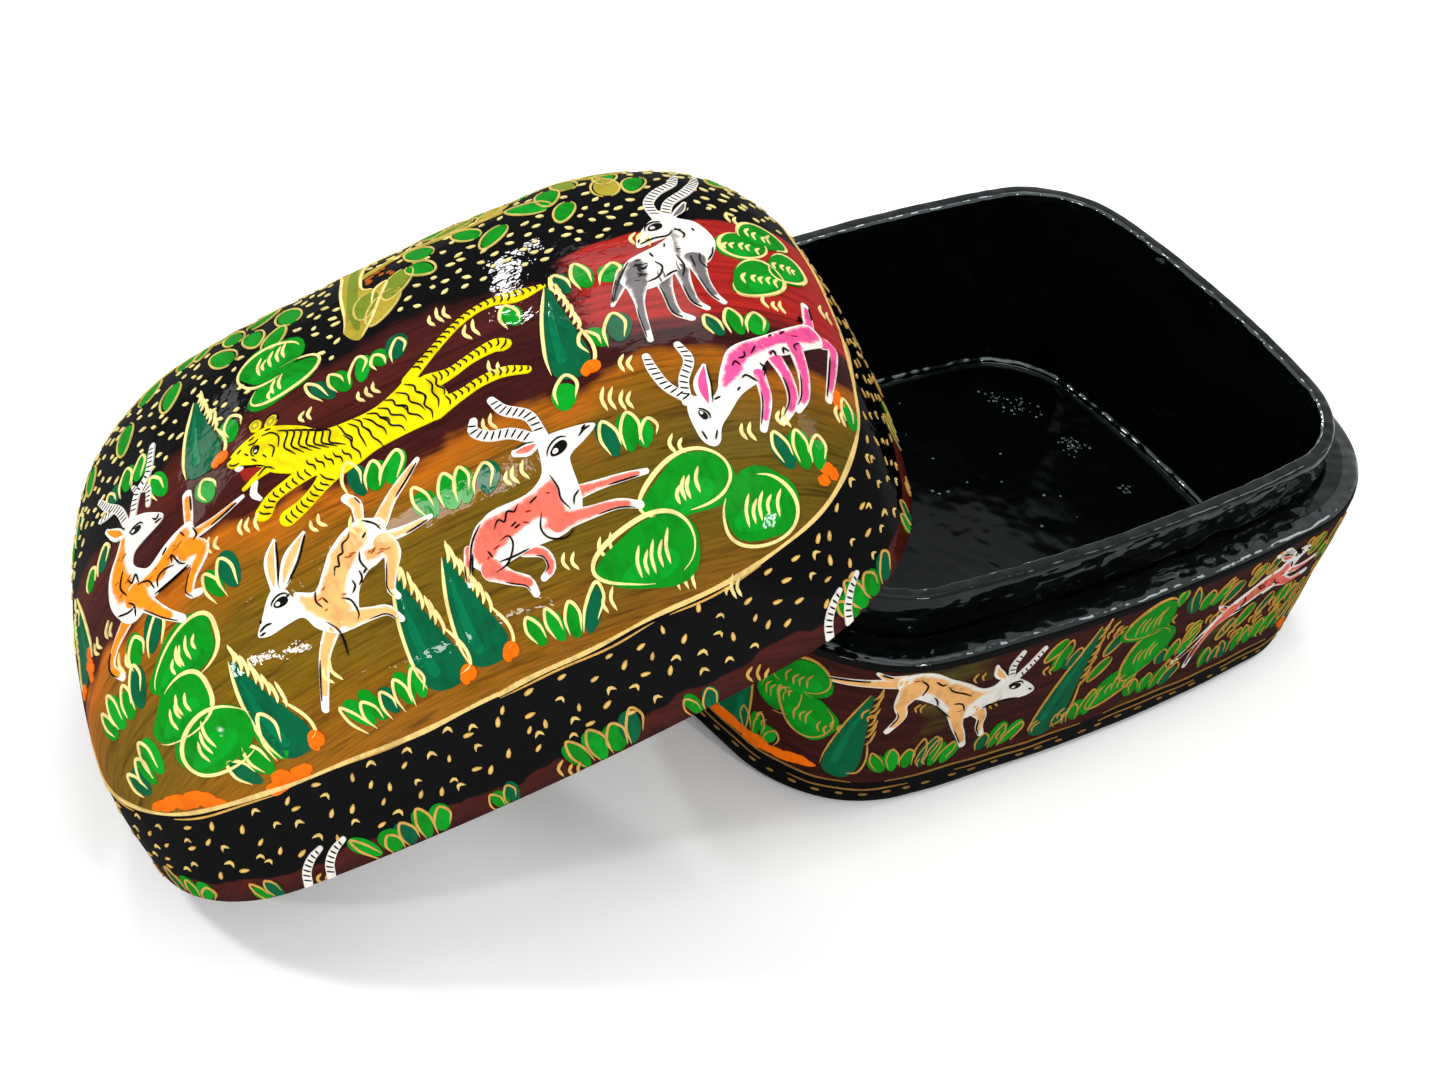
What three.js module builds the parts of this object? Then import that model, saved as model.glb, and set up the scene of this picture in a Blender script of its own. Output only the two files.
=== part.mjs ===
// Papier mache jewelry box: a flared base with a raised collar, and a pillow-shaped lid
// that has been taken off and leans on the base's left-hand end.
// Millimetres, +Z up. The origin is the middle of the base's underside, X runs along the box.
import * as THREE from 'three';

// Plan of the box at its ledge, its widest place
const boxLength = 127;
const boxWidth = 101;
const cornerRadius = 26.4;
const endBulge = 7;
const sideBulge = 5.8;

// Base shell
const ledgeHeight = 35;
const footInset = 4.2;
const footRound = 2.2;
const bottomThickness = 3.4;
const ledgeRound = 1.4;

// Wall strip inside the base, which stands up above the ledge as the collar
const collarInset = 6.4;
const collarRise = 7.8;
const collarThickness = 2.5;
const collarRound = 0.7;
const linerTaper = 1;

// Board that closes the inside
const boardThickness = 2.2;

// Lid
const lidHeight = 46;
const lidCrown = 4.5;
const domeRoundness = 2.2;
const skirtSteepness = 3.3;

// Fits
const glueGap = 0.15;
const lidFit = 0.5;
const restGap = 0.3;

// How the lid lies beside the base
const lidTurn = THREE.MathUtils.degToRad(-21.2);
const lidRoll = THREE.MathUtils.degToRad(-7.4);
const lidOverlap = 31.6;
const lidSideShift = -3.1;
const steepestLean = THREE.MathUtils.degToRad(60);

// Fineness of the facets
const sideSteps = 4;
const cornerSteps = 9;
const roundSteps = 3;
const wallSteps = 3;
const domeSteps = 13;
const seatSteps = 160;
const seatTrials = 30;

// Coats seen in the photo
const blackLacquer = { color: 0x0b0d0d, roughness: 0.12, metalness: 0 };
const maroonPaint = { color: 0x4a1d18, roughness: 0.15, metalness: 0 };
const olivePaint = { color: 0x5a4a1c, roughness: 0.15, metalness: 0 };

// Heights that follow from the sizes above
const floorHeight = bottomThickness + glueGap + boardThickness;
const collarTop = ledgeHeight + collarRise;
const skirtInset = collarInset - lidFit;

// The plan's quarter is three arcs that touch: an end, a corner and a long side.
function planArcs() {
  const halfLength = boxLength / 2;
  const halfWidth = boxWidth / 2;
  const endRadius = (halfWidth ** 2 + endBulge ** 2) / (2 * endBulge);
  const sideRadius = (halfLength ** 2 + sideBulge ** 2) / (2 * sideBulge);
  const endCentre = new THREE.Vector2(halfLength - endRadius, 0);
  const sideCentre = new THREE.Vector2(0, halfWidth - sideRadius);
  const reachFromEnd = endRadius - cornerRadius;
  const reachFromSide = sideRadius - cornerRadius;
  const line = sideCentre.clone().sub(endCentre);
  const span = line.length();
  line.normalize();
  const along = (reachFromEnd ** 2 - reachFromSide ** 2 + span ** 2) / (2 * span);
  const across = Math.sqrt(reachFromEnd ** 2 - along ** 2);
  const cornerCentre = endCentre.clone();
  cornerCentre.addScaledVector(line, along);
  cornerCentre.addScaledVector(new THREE.Vector2(-line.y, line.x), across);
  const endAngle = cornerCentre.clone().sub(endCentre).angle();
  const sideAngle = cornerCentre.clone().sub(sideCentre).angle();
  return [
    { centre: endCentre, radius: endRadius, from: 0, to: endAngle },
    { centre: cornerCentre, radius: cornerRadius, from: endAngle, to: sideAngle },
    { centre: sideCentre, radius: sideRadius, from: sideAngle, to: Math.PI / 2 },
  ];
}

const [endArc, cornerArc, sideArc] = planArcs();

// Points round the plan, moved in by an inset and then drawn in toward the middle by a share.
function planRing(inset, share = 1, sides = sideSteps, corners = cornerSteps) {
  const quarter = [];
  for (const [arc, steps] of [[endArc, sides], [cornerArc, corners], [sideArc, sides]]) {
    for (let step = 0; step < steps; step += 1) {
      const angle = THREE.MathUtils.lerp(arc.from, arc.to, step / steps);
      const radius = arc.radius - inset;
      const x = arc.centre.x + radius * Math.cos(angle);
      const y = arc.centre.y + radius * Math.sin(angle);
      quarter.push(new THREE.Vector2(x, y).multiplyScalar(share));
    }
  }
  const sideMiddle = new THREE.Vector2(0, boxWidth / 2 - inset).multiplyScalar(share);
  const first = [...quarter, sideMiddle];
  const second = first.slice(0, -1).reverse().map((p) => new THREE.Vector2(-p.x, p.y));
  const half = [...first, ...second];
  const back = half.slice(1, -1).map((p) => new THREE.Vector2(-p.x, -p.y));
  return [...half, ...back];
}

// How far a point in plan lies inside the ledge's outline; negative outside it.
function planDepth(x, y) {
  const point = new THREE.Vector2(Math.abs(x), Math.abs(y));
  const angle = point.clone().sub(cornerArc.centre).angle();
  let arc = cornerArc;
  if (angle < cornerArc.from || angle > Math.PI) {
    arc = endArc;
  } else if (angle > cornerArc.to) {
    arc = sideArc;
  }
  return arc.radius - point.distanceTo(arc.centre);
}

// A closed body lofted through rings. Each stop of the profile is { inset, share, z }.
// A profile either starts and ends on the middle axis or closes on itself as a hoop.
function loft(profile, hoop) {
  const rings = profile.map((stop) => planRing(stop.inset, stop.share ?? 1).map((p) => [p.x, p.y, stop.z]));
  const count = rings[0].length;
  const positions = rings.flat(2);
  const triangles = [];
  const joins = hoop ? rings.length : rings.length - 1;
  for (let ring = 0; ring < joins; ring += 1) {
    const here = ring * count;
    const next = ((ring + 1) % rings.length) * count;
    for (let step = 0; step < count; step += 1) {
      const turn = (step + 1) % count;
      triangles.push(here + step, here + turn, next + turn);
      triangles.push(here + step, next + turn, next + step);
    }
  }
  if (!hoop) {
    const bottom = positions.length / 3;
    positions.push(0, 0, profile[0].axisZ ?? profile[0].z);
    const top = positions.length / 3;
    positions.push(0, 0, profile.at(-1).axisZ ?? profile.at(-1).z);
    const last = (rings.length - 1) * count;
    for (let step = 0; step < count; step += 1) {
      const turn = (step + 1) % count;
      triangles.push(bottom, turn, step);
      triangles.push(top, last + step, last + turn);
    }
  }
  const geometry = new THREE.BufferGeometry();
  geometry.setAttribute('position', new THREE.Float32BufferAttribute(positions, 3));
  geometry.setIndex(triangles);
  geometry.computeVertexNormals();
  return geometry;
}

// Stops along a quarter round from one angle to another, about a centre in the profile's plane.
function roundStops(centreInset, centreZ, radius, fromAngle, toAngle) {
  const stops = [];
  for (let step = 0; step <= roundSteps; step += 1) {
    const angle = THREE.MathUtils.lerp(fromAngle, toAngle, step / roundSteps);
    stops.push({ inset: centreInset - radius * Math.cos(angle), z: centreZ + radius * Math.sin(angle) });
  }
  return stops;
}

// Inset of the strip's outer face at a height: upright at the collar, drawn in below the ledge.
function linerInset(z) {
  const below = Math.max(0, ledgeHeight - z);
  return collarInset + (linerTaper * below) / (ledgeHeight - floorHeight);
}

// Lower half: flat underside, rounded foot, flared wall, ledge with a rounded edge, hollow inside.
function baseShell() {
  const foot = roundStops(footInset + footRound, footRound, footRound, -Math.PI / 2, 0);
  const wallTop = ledgeHeight - ledgeRound;
  const wall = [];
  for (let step = 1; step < wallSteps; step += 1) {
    const share = step / wallSteps;
    wall.push({
      inset: THREE.MathUtils.lerp(footInset, 0, share),
      z: THREE.MathUtils.lerp(footRound, wallTop, share),
    });
  }
  const edge = roundStops(ledgeRound, wallTop, ledgeRound, 0, Math.PI / 2);
  const inside = [ledgeHeight, bottomThickness].map((z) => ({ inset: linerInset(z) - glueGap, z }));
  return loft([...foot, ...wall, ...edge, ...inside], false);
}

// Strip that lines the wall and ends in the collar, with both of the collar's edges rounded.
function baseLiner() {
  const foot = floorHeight + glueGap;
  const shoulder = collarTop - collarRound;
  const outerEdge = roundStops(collarInset + collarRound, shoulder, collarRound, 0, Math.PI / 2);
  const innerEdge = roundStops(
    collarInset + collarThickness - collarRound, shoulder, collarRound, Math.PI / 2, Math.PI,
  );
  return loft([
    { inset: linerInset(foot), z: foot },
    { inset: collarInset, z: ledgeHeight },
    ...outerEdge,
    ...innerEdge,
    { inset: collarInset + collarThickness, z: ledgeHeight },
    { inset: linerInset(foot) + collarThickness, z: foot },
  ], true);
}

// Board on the shell's bottom. The strip stands on it.
function floorBoard() {
  const under = bottomThickness + glueGap;
  return loft([
    { inset: linerInset(under), z: under },
    { inset: linerInset(floorHeight), z: floorHeight },
  ], false);
}

// Stops up a dome: steep at the skirt and rounded over the top, by a superellipse.
function domeStops(inset, height) {
  const stops = [];
  for (let step = 0; step < domeSteps; step += 1) {
    const angle = (step / domeSteps) * (Math.PI / 2);
    stops.push({
      inset,
      share: Math.cos(angle) ** (2 / domeRoundness),
      z: height * Math.sin(angle) ** (2 / skirtSteepness),
    });
  }
  return stops;
}

// Lid with its rim at zero height: the hollow's dome, the flat rim, then the outer dome.
function lidShell() {
  const hollowHeight = lidHeight - lidCrown;
  const hollow = domeStops(skirtInset, hollowHeight).reverse();
  const outside = domeStops(0, lidHeight);
  hollow[0].axisZ = hollowHeight;
  outside.at(-1).axisZ = lidHeight;
  return loft([...hollow, ...outside], false);
}

// Turn the lid by a lean, set its rim's lowest point on the table and its end over the base.
function placeLid(lid, lean) {
  lid.rotation.set(lidRoll, -lean, lidTurn, 'ZYX');
  lid.position.set(0, 0, 0);
  lid.updateMatrix();
  const rim = planRing(0, 1, seatSteps, seatSteps).map((p) => new THREE.Vector3(p.x, p.y, 0));
  rim.forEach((point) => point.applyMatrix4(lid.matrix));
  const farEnd = Math.max(...rim.map((point) => point.x));
  const lowest = Math.min(...rim.map((point) => point.z));
  lid.position.set(lidOverlap - boxLength / 2 - farEnd, lidSideShift, -lowest);
  lid.updateMatrix();
}

// Least room between the lid's flat rim and the top of the collar under it.
function roomOverCollar(lid) {
  const toLid = lid.matrix.clone().invert();
  let room = collarTop;
  for (const inset of [collarInset, collarInset + collarThickness]) {
    for (const p of planRing(inset, 1, seatSteps, seatSteps)) {
      const point = new THREE.Vector3(p.x, p.y, collarTop).applyMatrix4(toLid);
      const depth = planDepth(point.x, point.y);
      if (depth >= 0 && depth <= skirtInset) {
        room = Math.min(room, -point.z);
      }
    }
  }
  return room;
}

// Find the lean at which the rim just clears the collar.
function leanLid(lid) {
  let low = 0;
  let high = steepestLean;
  for (let trial = 0; trial < seatTrials; trial += 1) {
    const lean = (low + high) / 2;
    placeLid(lid, lean);
    if (roomOverCollar(lid) < restGap) {
      low = lean;
    } else {
      high = lean;
    }
  }
  placeLid(lid, high);
}

function piece(name, geometry, coat) {
  const mesh = new THREE.Mesh(geometry, new THREE.MeshStandardMaterial(coat));
  mesh.name = name;
  return mesh;
}

const box = new THREE.Group();
box.add(piece('base_shell', baseShell(), maroonPaint));
box.add(piece('base_liner', baseLiner(), blackLacquer));
box.add(piece('floor_board', floorBoard(), blackLacquer));

const lid = new THREE.Group();
lid.add(piece('lid_shell', lidShell(), olivePaint));
leanLid(lid);
box.add(lid);

export default box;
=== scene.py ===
"""Looks of the papier mache jewelry box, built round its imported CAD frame.

Shapes and paint are laid out in millimetres and become meshes in metres.
"""
import math
import random

import bpy
import numpy as np
from mathutils import Euler, Matrix, Vector
from mathutils.geometry import delaunay_2d_cdt


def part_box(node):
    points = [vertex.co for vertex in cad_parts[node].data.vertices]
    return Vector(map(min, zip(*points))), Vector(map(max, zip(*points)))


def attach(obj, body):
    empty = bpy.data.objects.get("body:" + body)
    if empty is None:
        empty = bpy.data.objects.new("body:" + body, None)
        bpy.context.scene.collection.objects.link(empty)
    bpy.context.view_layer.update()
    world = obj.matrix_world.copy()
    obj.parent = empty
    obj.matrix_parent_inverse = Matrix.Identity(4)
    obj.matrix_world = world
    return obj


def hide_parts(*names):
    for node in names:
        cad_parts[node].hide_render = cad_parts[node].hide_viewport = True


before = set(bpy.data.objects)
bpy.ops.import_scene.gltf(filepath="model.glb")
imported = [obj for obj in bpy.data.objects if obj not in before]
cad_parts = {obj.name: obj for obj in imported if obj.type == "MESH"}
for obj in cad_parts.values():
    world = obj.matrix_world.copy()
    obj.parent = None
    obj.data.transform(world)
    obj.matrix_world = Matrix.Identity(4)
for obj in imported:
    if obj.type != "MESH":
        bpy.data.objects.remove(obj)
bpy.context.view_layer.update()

MM = 0.001
TINY = 1e-9


def node_box(node):
    """Lowest and highest corner of a CAD node, in millimetres."""
    low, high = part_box(node)
    return np.array(low) / MM, np.array(high) / MM


# Sizes that the frame gives
shell_low, shell_high = node_box("base_shell")
liner_low, liner_high = node_box("base_liner")
board_low, board_high = node_box("floor_board")
lid_low, lid_high = node_box("lid_shell")
box_length, box_width, ledge_height = shell_high - shell_low
collar_inset = (box_length - (liner_high - liner_low)[0]) / 2
collar_top = liner_high[2]
floor_height = board_high[2]

# Shape of the box, as in the CAD part
corner_radius = 26.4
end_bulge = 7.0
side_bulge = 5.8
foot_inset = 4.2
foot_round = 2.2
ledge_round = 1.4
collar_thickness = 2.5
collar_round = 0.7
liner_taper = 1.0
lid_height = 46.0
lid_crown = 4.5
dome_roundness = 2.2
skirt_steepness = 3.3
skirt_inset = 5.9
lid_turn = math.radians(-21.2)
lid_lean = math.radians(31.564)
lid_roll = math.radians(-7.4)

# Fineness of the skins, and of the plan's edge that places the paint
side_steps = 20
corner_steps = 44
fine_sides, fine_corners = 60, 120
dome_steps = 96
hollow_steps = 48
floor_rings = 26
flare_steps, ledge_steps, ledge_edge_steps = 24, 6, 8
collar_steps, crest_steps, strip_steps = 8, 6, 26
bead_steps = 7

# Hand-made unevenness: wave lengths, heights and seeds
lid_wave, lid_wave_height = 17.0, 0.07
wall_wave, wall_wave_height = 15.0, 0.08
run_wave, run_height = 7.0, 0.04
bead_wave, bead_height = 2.6, 0.03
lid_seed, hollow_seed, wall_seed = 3, 8, 5
ledge_seed, collar_seed, floor_seed = 11, 21, 31

# Shares of the lacquer's lumps on the strip's inside, on the collar's sides and on the floor
inside_share, collar_share, floor_share = 0.2, 0.5, 0.6

# Joins: glue gap round the strip, gap under the board, skin that counts as ledge, sunk part of the strip
glue_gap = 0.15
board_gap = 0.1
ledge_depth = 0.2
strip_depth = 1

# Stops of the ledge's edge that stay painted, and of the collar's crest that are its bright inner edge
painted_stops = 3
edge_stops = 5

# Bead of lacquer round the floor: its radius, and how far under the strip its top starts
bead_radius = 0.9
bead_margin = 0.5

# Drops of lacquer on the floor: sides and rings, height over radius, radii, depth of root and foot, seed
drop_sides, drop_rings, drop_rise = 10, 3, 0.5
drop_radius = (0.18, 0.55)
drop_root, drop_sink = 0.3, 0.02
drops_seed = 47

# Clusters of drops: place, spread and number
FLOOR_DROPS = (
    (42, 11, 1.4, 40),
    (39.5, 23, 1.6, 28),
    (37, 27.5, 1.2, 16),
    (43, -3, 0.9, 16),
    (20, 10, 11, 14),
)

# Coats of paint: the first coat's height over the skin, the step to the next and the sunk edge
first_coat = 0.05
coat_step = 0.034
stroke_step = 0.0004
stroke_turns = 24
stroke_crown = 0.03
sunk_edge = -0.06
rim_margin = 0.15

# Fineness of the paint, and how far a wash of coat colour fades in from its edge
paint_grid = 1.0
edge_grid = 0.7
fine_grid = 0.26
fade_width = 1.2

# Strokes: space between stops over width, width left at a pointed end, parts where a wash fades in and out
stop_share = 0.8
point_share = 0.12
fade_in, fade_out = 0.3, 0.2

# The red patch's upper edge on the lid: its slope and its height at the middle
red_slope, red_start = 0.36, -6.0

# Heights of the painted bands
border_height = 17.6
skirt_band = 4.2
wall_line = 6.2
foot_line = 3.2

# Paints, as red, green and blue from 0 to 255
PAINTS = {
    "gold": (250, 228, 150),
    "rim_gold": (214, 192, 104),
    "border_gold": (236, 204, 126),
    "skirt_gold": (232, 196, 116),
    "old_gold": (214, 166, 84),
    "wall_gold": (200, 152, 68),
    "foot_gold": (150, 112, 56),
    "leaf": (8, 140, 24),
    "new_leaf": (6, 154, 34),
    "deep_leaf": (2, 94, 58),
    "pine": (0, 112, 70),
    "moss": (120, 138, 40),
    "olive_yellow": (176, 158, 52),
    "orange": (246, 112, 8),
    "yellow": (250, 226, 6),
    "white": (244, 240, 230),
    "ink": (12, 10, 10),
    "coral": (236, 112, 94),
    "pink": (240, 84, 150),
    "tan": (246, 184, 112),
    "amber": (248, 146, 26),
    "grey": (112, 106, 108),
    "crimson": (150, 34, 26),
    "rust": (176, 92, 26),
}
COATS = ("coral", "pink", "tan", "amber", "grey")


# Plan of the box

def plan_arcs():
    """The plan's quarter as three arcs that touch: centre, radius, start and end angle of each."""
    half_length = box_length / 2
    half_width = box_width / 2
    end_radius = (half_width ** 2 + end_bulge ** 2) / (2 * end_bulge)
    side_radius = (half_length ** 2 + side_bulge ** 2) / (2 * side_bulge)
    end_centre = np.array([half_length - end_radius, 0])
    side_centre = np.array([0, half_width - side_radius])
    from_end = end_radius - corner_radius
    from_side = side_radius - corner_radius
    line = side_centre - end_centre
    span = np.hypot(*line)
    line /= span
    along = (from_end ** 2 - from_side ** 2 + span ** 2) / (2 * span)
    across = math.sqrt(from_end ** 2 - along ** 2)
    corner_centre = end_centre + line * along + np.array([-line[1], line[0]]) * across
    end_angle = math.atan2(*(corner_centre - end_centre)[::-1])
    side_angle = math.atan2(*(corner_centre - side_centre)[::-1])
    return [
        (end_centre, end_radius, 0, end_angle),
        (corner_centre, corner_radius, end_angle, side_angle),
        (side_centre, side_radius, side_angle, math.pi / 2),
    ]


ARCS = plan_arcs()


def plan_ring(inset, sides=side_steps, corners=corner_steps):
    """Points round the plan, anticlockwise from the right-hand end's middle, moved in by an inset."""
    quarter = []
    for (centre, radius, start, end), steps in zip(ARCS, (sides, corners, sides)):
        angle = start + (end - start) * np.arange(steps) / steps
        quarter.append(centre + (radius - inset) * np.column_stack([np.cos(angle), np.sin(angle)]))
    first = np.vstack(quarter + [[[0, box_width / 2 - inset]]])
    second = first[-2::-1] * [-1, 1]
    half = np.vstack([first, second])
    return np.vstack([half, -half[1:-1]])


def at_height(flat, z):
    """Points of the plan lifted to one height."""
    return np.column_stack([flat, np.full(len(flat), z)])


def unit(vectors):
    """The vectors, each at length 1."""
    return vectors / (np.linalg.norm(vectors, axis=1, keepdims=True) + TINY)


class Outline:
    """The plan's edge, by the distance along it from the middle of the front, to the right."""

    def __init__(self):
        ring = plan_ring(0, fine_sides, fine_corners)
        normal = ring - plan_ring(1, fine_sides, fine_corners)
        front = int(np.argmin(ring[:, 1]))
        self.points = np.roll(ring, -front, axis=0)
        self.normals = np.roll(normal, -front, axis=0)
        steps = np.hypot(*(np.roll(self.points, -1, axis=0) - self.points).T)
        self.length = steps.sum()
        self.stations = np.concatenate([[0], np.cumsum(steps)[:-1]])

    def read(self, table, s):
        """A table of the ring's points, read between them."""
        columns = [np.interp(s, self.stations, column, period=self.length) for column in table.T]
        return np.column_stack(columns)

    def at(self, s, inset):
        """Points at distances along the edge, moved in by insets."""
        return self.read(self.points, s) - self.read(self.normals, s) * np.reshape(inset, (-1, 1))


OUTLINE = Outline()


def ripple(points, wavelength, seed, waves=18):
    """A smooth random height, about 1 either way, at each point."""
    rng = np.random.default_rng(seed)
    directions = rng.normal(size=(waves, 3))
    directions /= np.linalg.norm(directions, axis=1, keepdims=True)
    phases = rng.uniform(0, 2 * math.pi, waves)
    turns = points @ directions.T * (2 * math.pi / wavelength) + phases
    return np.sin(turns).sum(1) * math.sqrt(2 / waves)


# Lid: its form in its own frame, rim at zero height, and its place beside the base

def lid_matrix():
    """Turn the lid as it leans, and set it where the CAD lid is."""
    turned = Euler((lid_roll, -lid_lean, lid_turn), "XYZ").to_matrix()
    rings = [at_height(plan_ring(0) * share, z) for share, z in dome_profile(lid_height, dome_steps)]
    placed = np.vstack(rings) @ np.array(turned).T
    middle = (placed.min(0) + placed.max(0)) / 2
    return np.array(turned), (lid_low + lid_high) / 2 - middle


def dome_profile(height, steps):
    """Share of the plan and height at stops up a superellipse dome, from the rim to near the crown."""
    angles = np.linspace(0, math.pi / 2, steps, endpoint=False)
    shares = np.cos(angles) ** (2 / dome_roundness)
    heights = height * np.sin(angles) ** (2 / skirt_steepness)
    return list(zip(shares, heights))


LID_TURN, LID_PLACE = lid_matrix()


def swell_lid(points):
    """Move points of the lid's outside by its hand-made unevenness, in the lid's frame."""
    out = unit(points / np.array([box_length / 2, box_width / 2, lid_height]) ** 2)
    fade = np.clip(points[:, 2] / border_height, 0, 1)
    return points + out * (ripple(points, lid_wave, lid_seed) * lid_wave_height * fade)[:, None]


def stand_lid(points):
    """Points of the lid's own frame, where the lid leans."""
    return points @ LID_TURN.T + LID_PLACE


class Surface:
    """A face that takes paint: place() turns paint coordinates into points of the object.

    The second coordinate is held between low and high.
    """

    probe = 0.05
    low, high = -math.inf, math.inf

    def lay(self, spots, lifts):
        """Points over the face at paint coordinates, raised by lifts."""
        here = self.place(spots)
        along = self.place(spots + [self.probe, 0]) - here
        up = self.place(spots + [0, self.probe]) - here
        normal = np.cross(along, up)
        normal /= np.linalg.norm(normal, axis=1, keepdims=True)
        return here + normal * lifts[:, None]


class LidTop(Surface):
    """The lid's dome, by the distance from the crown along the surface: to the right and to the back."""

    radius_stops = 60
    distance_stops = 500
    profile_stops = 900

    def __init__(self):
        ring = plan_ring(0, fine_sides, fine_corners)
        order = np.argsort(np.arctan2(ring[:, 1], ring[:, 0]))
        self.angles = np.arctan2(ring[:, 1], ring[:, 0])[order]
        self.plan_radii = np.hypot(*ring.T)[order]
        self.radii = np.linspace(self.plan_radii.min(), self.plan_radii.max(), self.radius_stops)
        angle = np.linspace(math.pi / 2, 0, self.profile_stops)
        shares = np.cos(angle) ** (2 / dome_roundness)
        heights = lid_height * np.sin(angle) ** (2 / skirt_steepness)
        runs = []
        for radius in self.radii:
            steps = np.hypot(np.diff(shares * radius), np.diff(heights))
            runs.append(np.concatenate([[0], np.cumsum(steps)]))
        self.reach = max(run[-1] for run in runs)
        stops = np.linspace(0, self.reach, self.distance_stops)
        self.shares = np.array([np.interp(stops, run, shares) for run in runs])
        self.heights = np.array([np.interp(stops, run, heights) for run in runs])
        self.runs = np.array(runs)
        self.profile_shares = shares

    def plan_radius(self, angle):
        """Distance of the plan's edge from its middle, by direction."""
        return np.interp(angle, self.angles, self.plan_radii, period=2 * math.pi)

    def row_of(self, radius):
        """Where a plan radius lies among the rows of the tables."""
        row = (radius - self.radii[0]) / (self.radii[1] - self.radii[0])
        return np.clip(row, 0, self.radius_stops - 1.001)

    def blend(self, table, radius, distance):
        """Read a table between its stops of plan radius and distance."""
        last = self.distance_stops - 1
        row = self.row_of(radius)
        column = np.clip(distance / self.reach * last, 0, last - 0.001)
        i, j = row.astype(int), column.astype(int)
        p, q = row - i, column - j
        low = table[i, j] * (1 - q) + table[i, j + 1] * q
        high = table[i + 1, j] * (1 - q) + table[i + 1, j + 1] * q
        return low * (1 - p) + high * p

    def place(self, spots):
        angle = np.arctan2(spots[:, 1], spots[:, 0])
        distance = np.hypot(*spots.T)
        radius = self.plan_radius(angle)
        share = self.blend(self.shares, radius, distance)
        height = self.blend(self.heights, radius, distance)
        flat = (share * radius)[:, None] * np.column_stack([np.cos(angle), np.sin(angle)])
        return stand_lid(swell_lid(np.column_stack([flat, height])))

    def spots_of(self, points):
        """Paint coordinates of points in the lid's own frame."""
        angle = np.arctan2(points[:, 1], points[:, 0])
        radius = self.plan_radius(angle)
        share = np.hypot(points[:, 0], points[:, 1]) / radius
        row = self.row_of(radius)
        index = row.astype(int)
        distance = np.empty(len(points))
        for k, (i, p) in enumerate(zip(index, row - index)):
            run = self.runs[i] * (1 - p) + self.runs[i + 1] * p
            distance[k] = np.interp(share[k], self.profile_shares, run)
        return distance[:, None] * np.column_stack([np.cos(angle), np.sin(angle)])


class LidSkirt(Surface):
    """The lid's side, by the distance along its rim and the height over the rim."""

    low, high = rim_margin, lid_height / 2

    def place(self, spots):
        height = spots[:, 1]
        share = (1 - (height / lid_height) ** skirt_steepness) ** (1 / dome_roundness)
        flat = OUTLINE.at(spots[:, 0], np.zeros(len(spots))) * share[:, None]
        return stand_lid(swell_lid(np.column_stack([flat, height])))


def wall_inset(z):
    """Inset of the base's outer wall at a height: rounded foot, flared wall, rounded edge."""
    wall_top = ledge_height - ledge_round
    low = np.clip(foot_round - z, 0, foot_round)
    high = np.clip(z - wall_top, 0, ledge_round)
    flare = foot_inset * (1 - (np.clip(z, foot_round, wall_top) - foot_round) / (wall_top - foot_round))
    foot = foot_round - np.sqrt(foot_round ** 2 - low ** 2)
    edge = ledge_round - np.sqrt(ledge_round ** 2 - high ** 2)
    return flare + foot + edge


def swell_base(points):
    """Move points of the base's outside by its hand-made unevenness."""
    out = unit(points * [1, 1, 0])
    return points + out * (ripple(points, wall_wave, wall_seed) * wall_wave_height)[:, None]


class BaseWall(Surface):
    """The base's side, by the distance along its edge and the height over the table."""

    low, high = rim_margin, ledge_height - ledge_round

    def place(self, spots):
        height = spots[:, 1]
        flat = OUTLINE.at(spots[:, 0], wall_inset(height))
        return swell_base(np.column_stack([flat, height]))


# Meshes

def make_piece(name, points, faces, materials, body, face_materials=None):
    """A smooth mesh object in metres that rides on a body."""
    mesh = bpy.data.meshes.new(name)
    mesh.from_pydata((np.asarray(points) * MM).tolist(), [], faces)
    for material in materials:
        mesh.materials.append(material)
    if face_materials is not None:
        mesh.polygons.foreach_set("material_index", face_materials)
    mesh.polygons.foreach_set("use_smooth", [True] * len(mesh.polygons))
    mesh.update()
    piece = bpy.data.objects.new(name, mesh)
    bpy.context.collection.objects.link(piece)
    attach(piece, body)
    return piece


def ring_faces(rings, count, hoop):
    """Quads between neighbouring rings of a loft."""
    faces = []
    for ring in range(rings if hoop else rings - 1):
        here = ring * count
        there = ((ring + 1) % rings) * count
        for step in range(count):
            turn = (step + 1) % count
            faces.append((here + step, here + turn, there + turn, there + step))
    return faces


def cap_faces(first, count, hub, inward):
    """Triangles from a ring to a point on the axis."""
    faces = []
    for step in range(count):
        turn = (step + 1) % count
        faces.append((hub, first + turn, first + step) if inward else (hub, first + step, first + turn))
    return faces


def quarter_round(centre_inset, centre_z, radius, start, end, steps=5):
    """Inset and height of stops along a rounded edge."""
    angles = np.linspace(start, end, steps)
    return [(centre_inset - radius * math.cos(t), centre_z + radius * math.sin(t)) for t in angles]


def stretch(start, end, steps):
    """Stops along a straight stretch of a profile, without its ends."""
    return [tuple(np.array(start) + (np.array(end) - start) * k / steps) for k in range(1, steps)]


def liner_inset(z):
    """Inset of the wall strip's outer face at a height."""
    below = max(0.0, ledge_height - z)
    return collar_inset + liner_taper * below / (ledge_height - floor_height)


def lacquer_lumps(points, seed):
    """Runs and beads of thick lacquer, as a height at each point."""
    return ripple(points, run_wave, seed) * run_height + ripple(points, bead_wave, seed + 1) * bead_height


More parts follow.
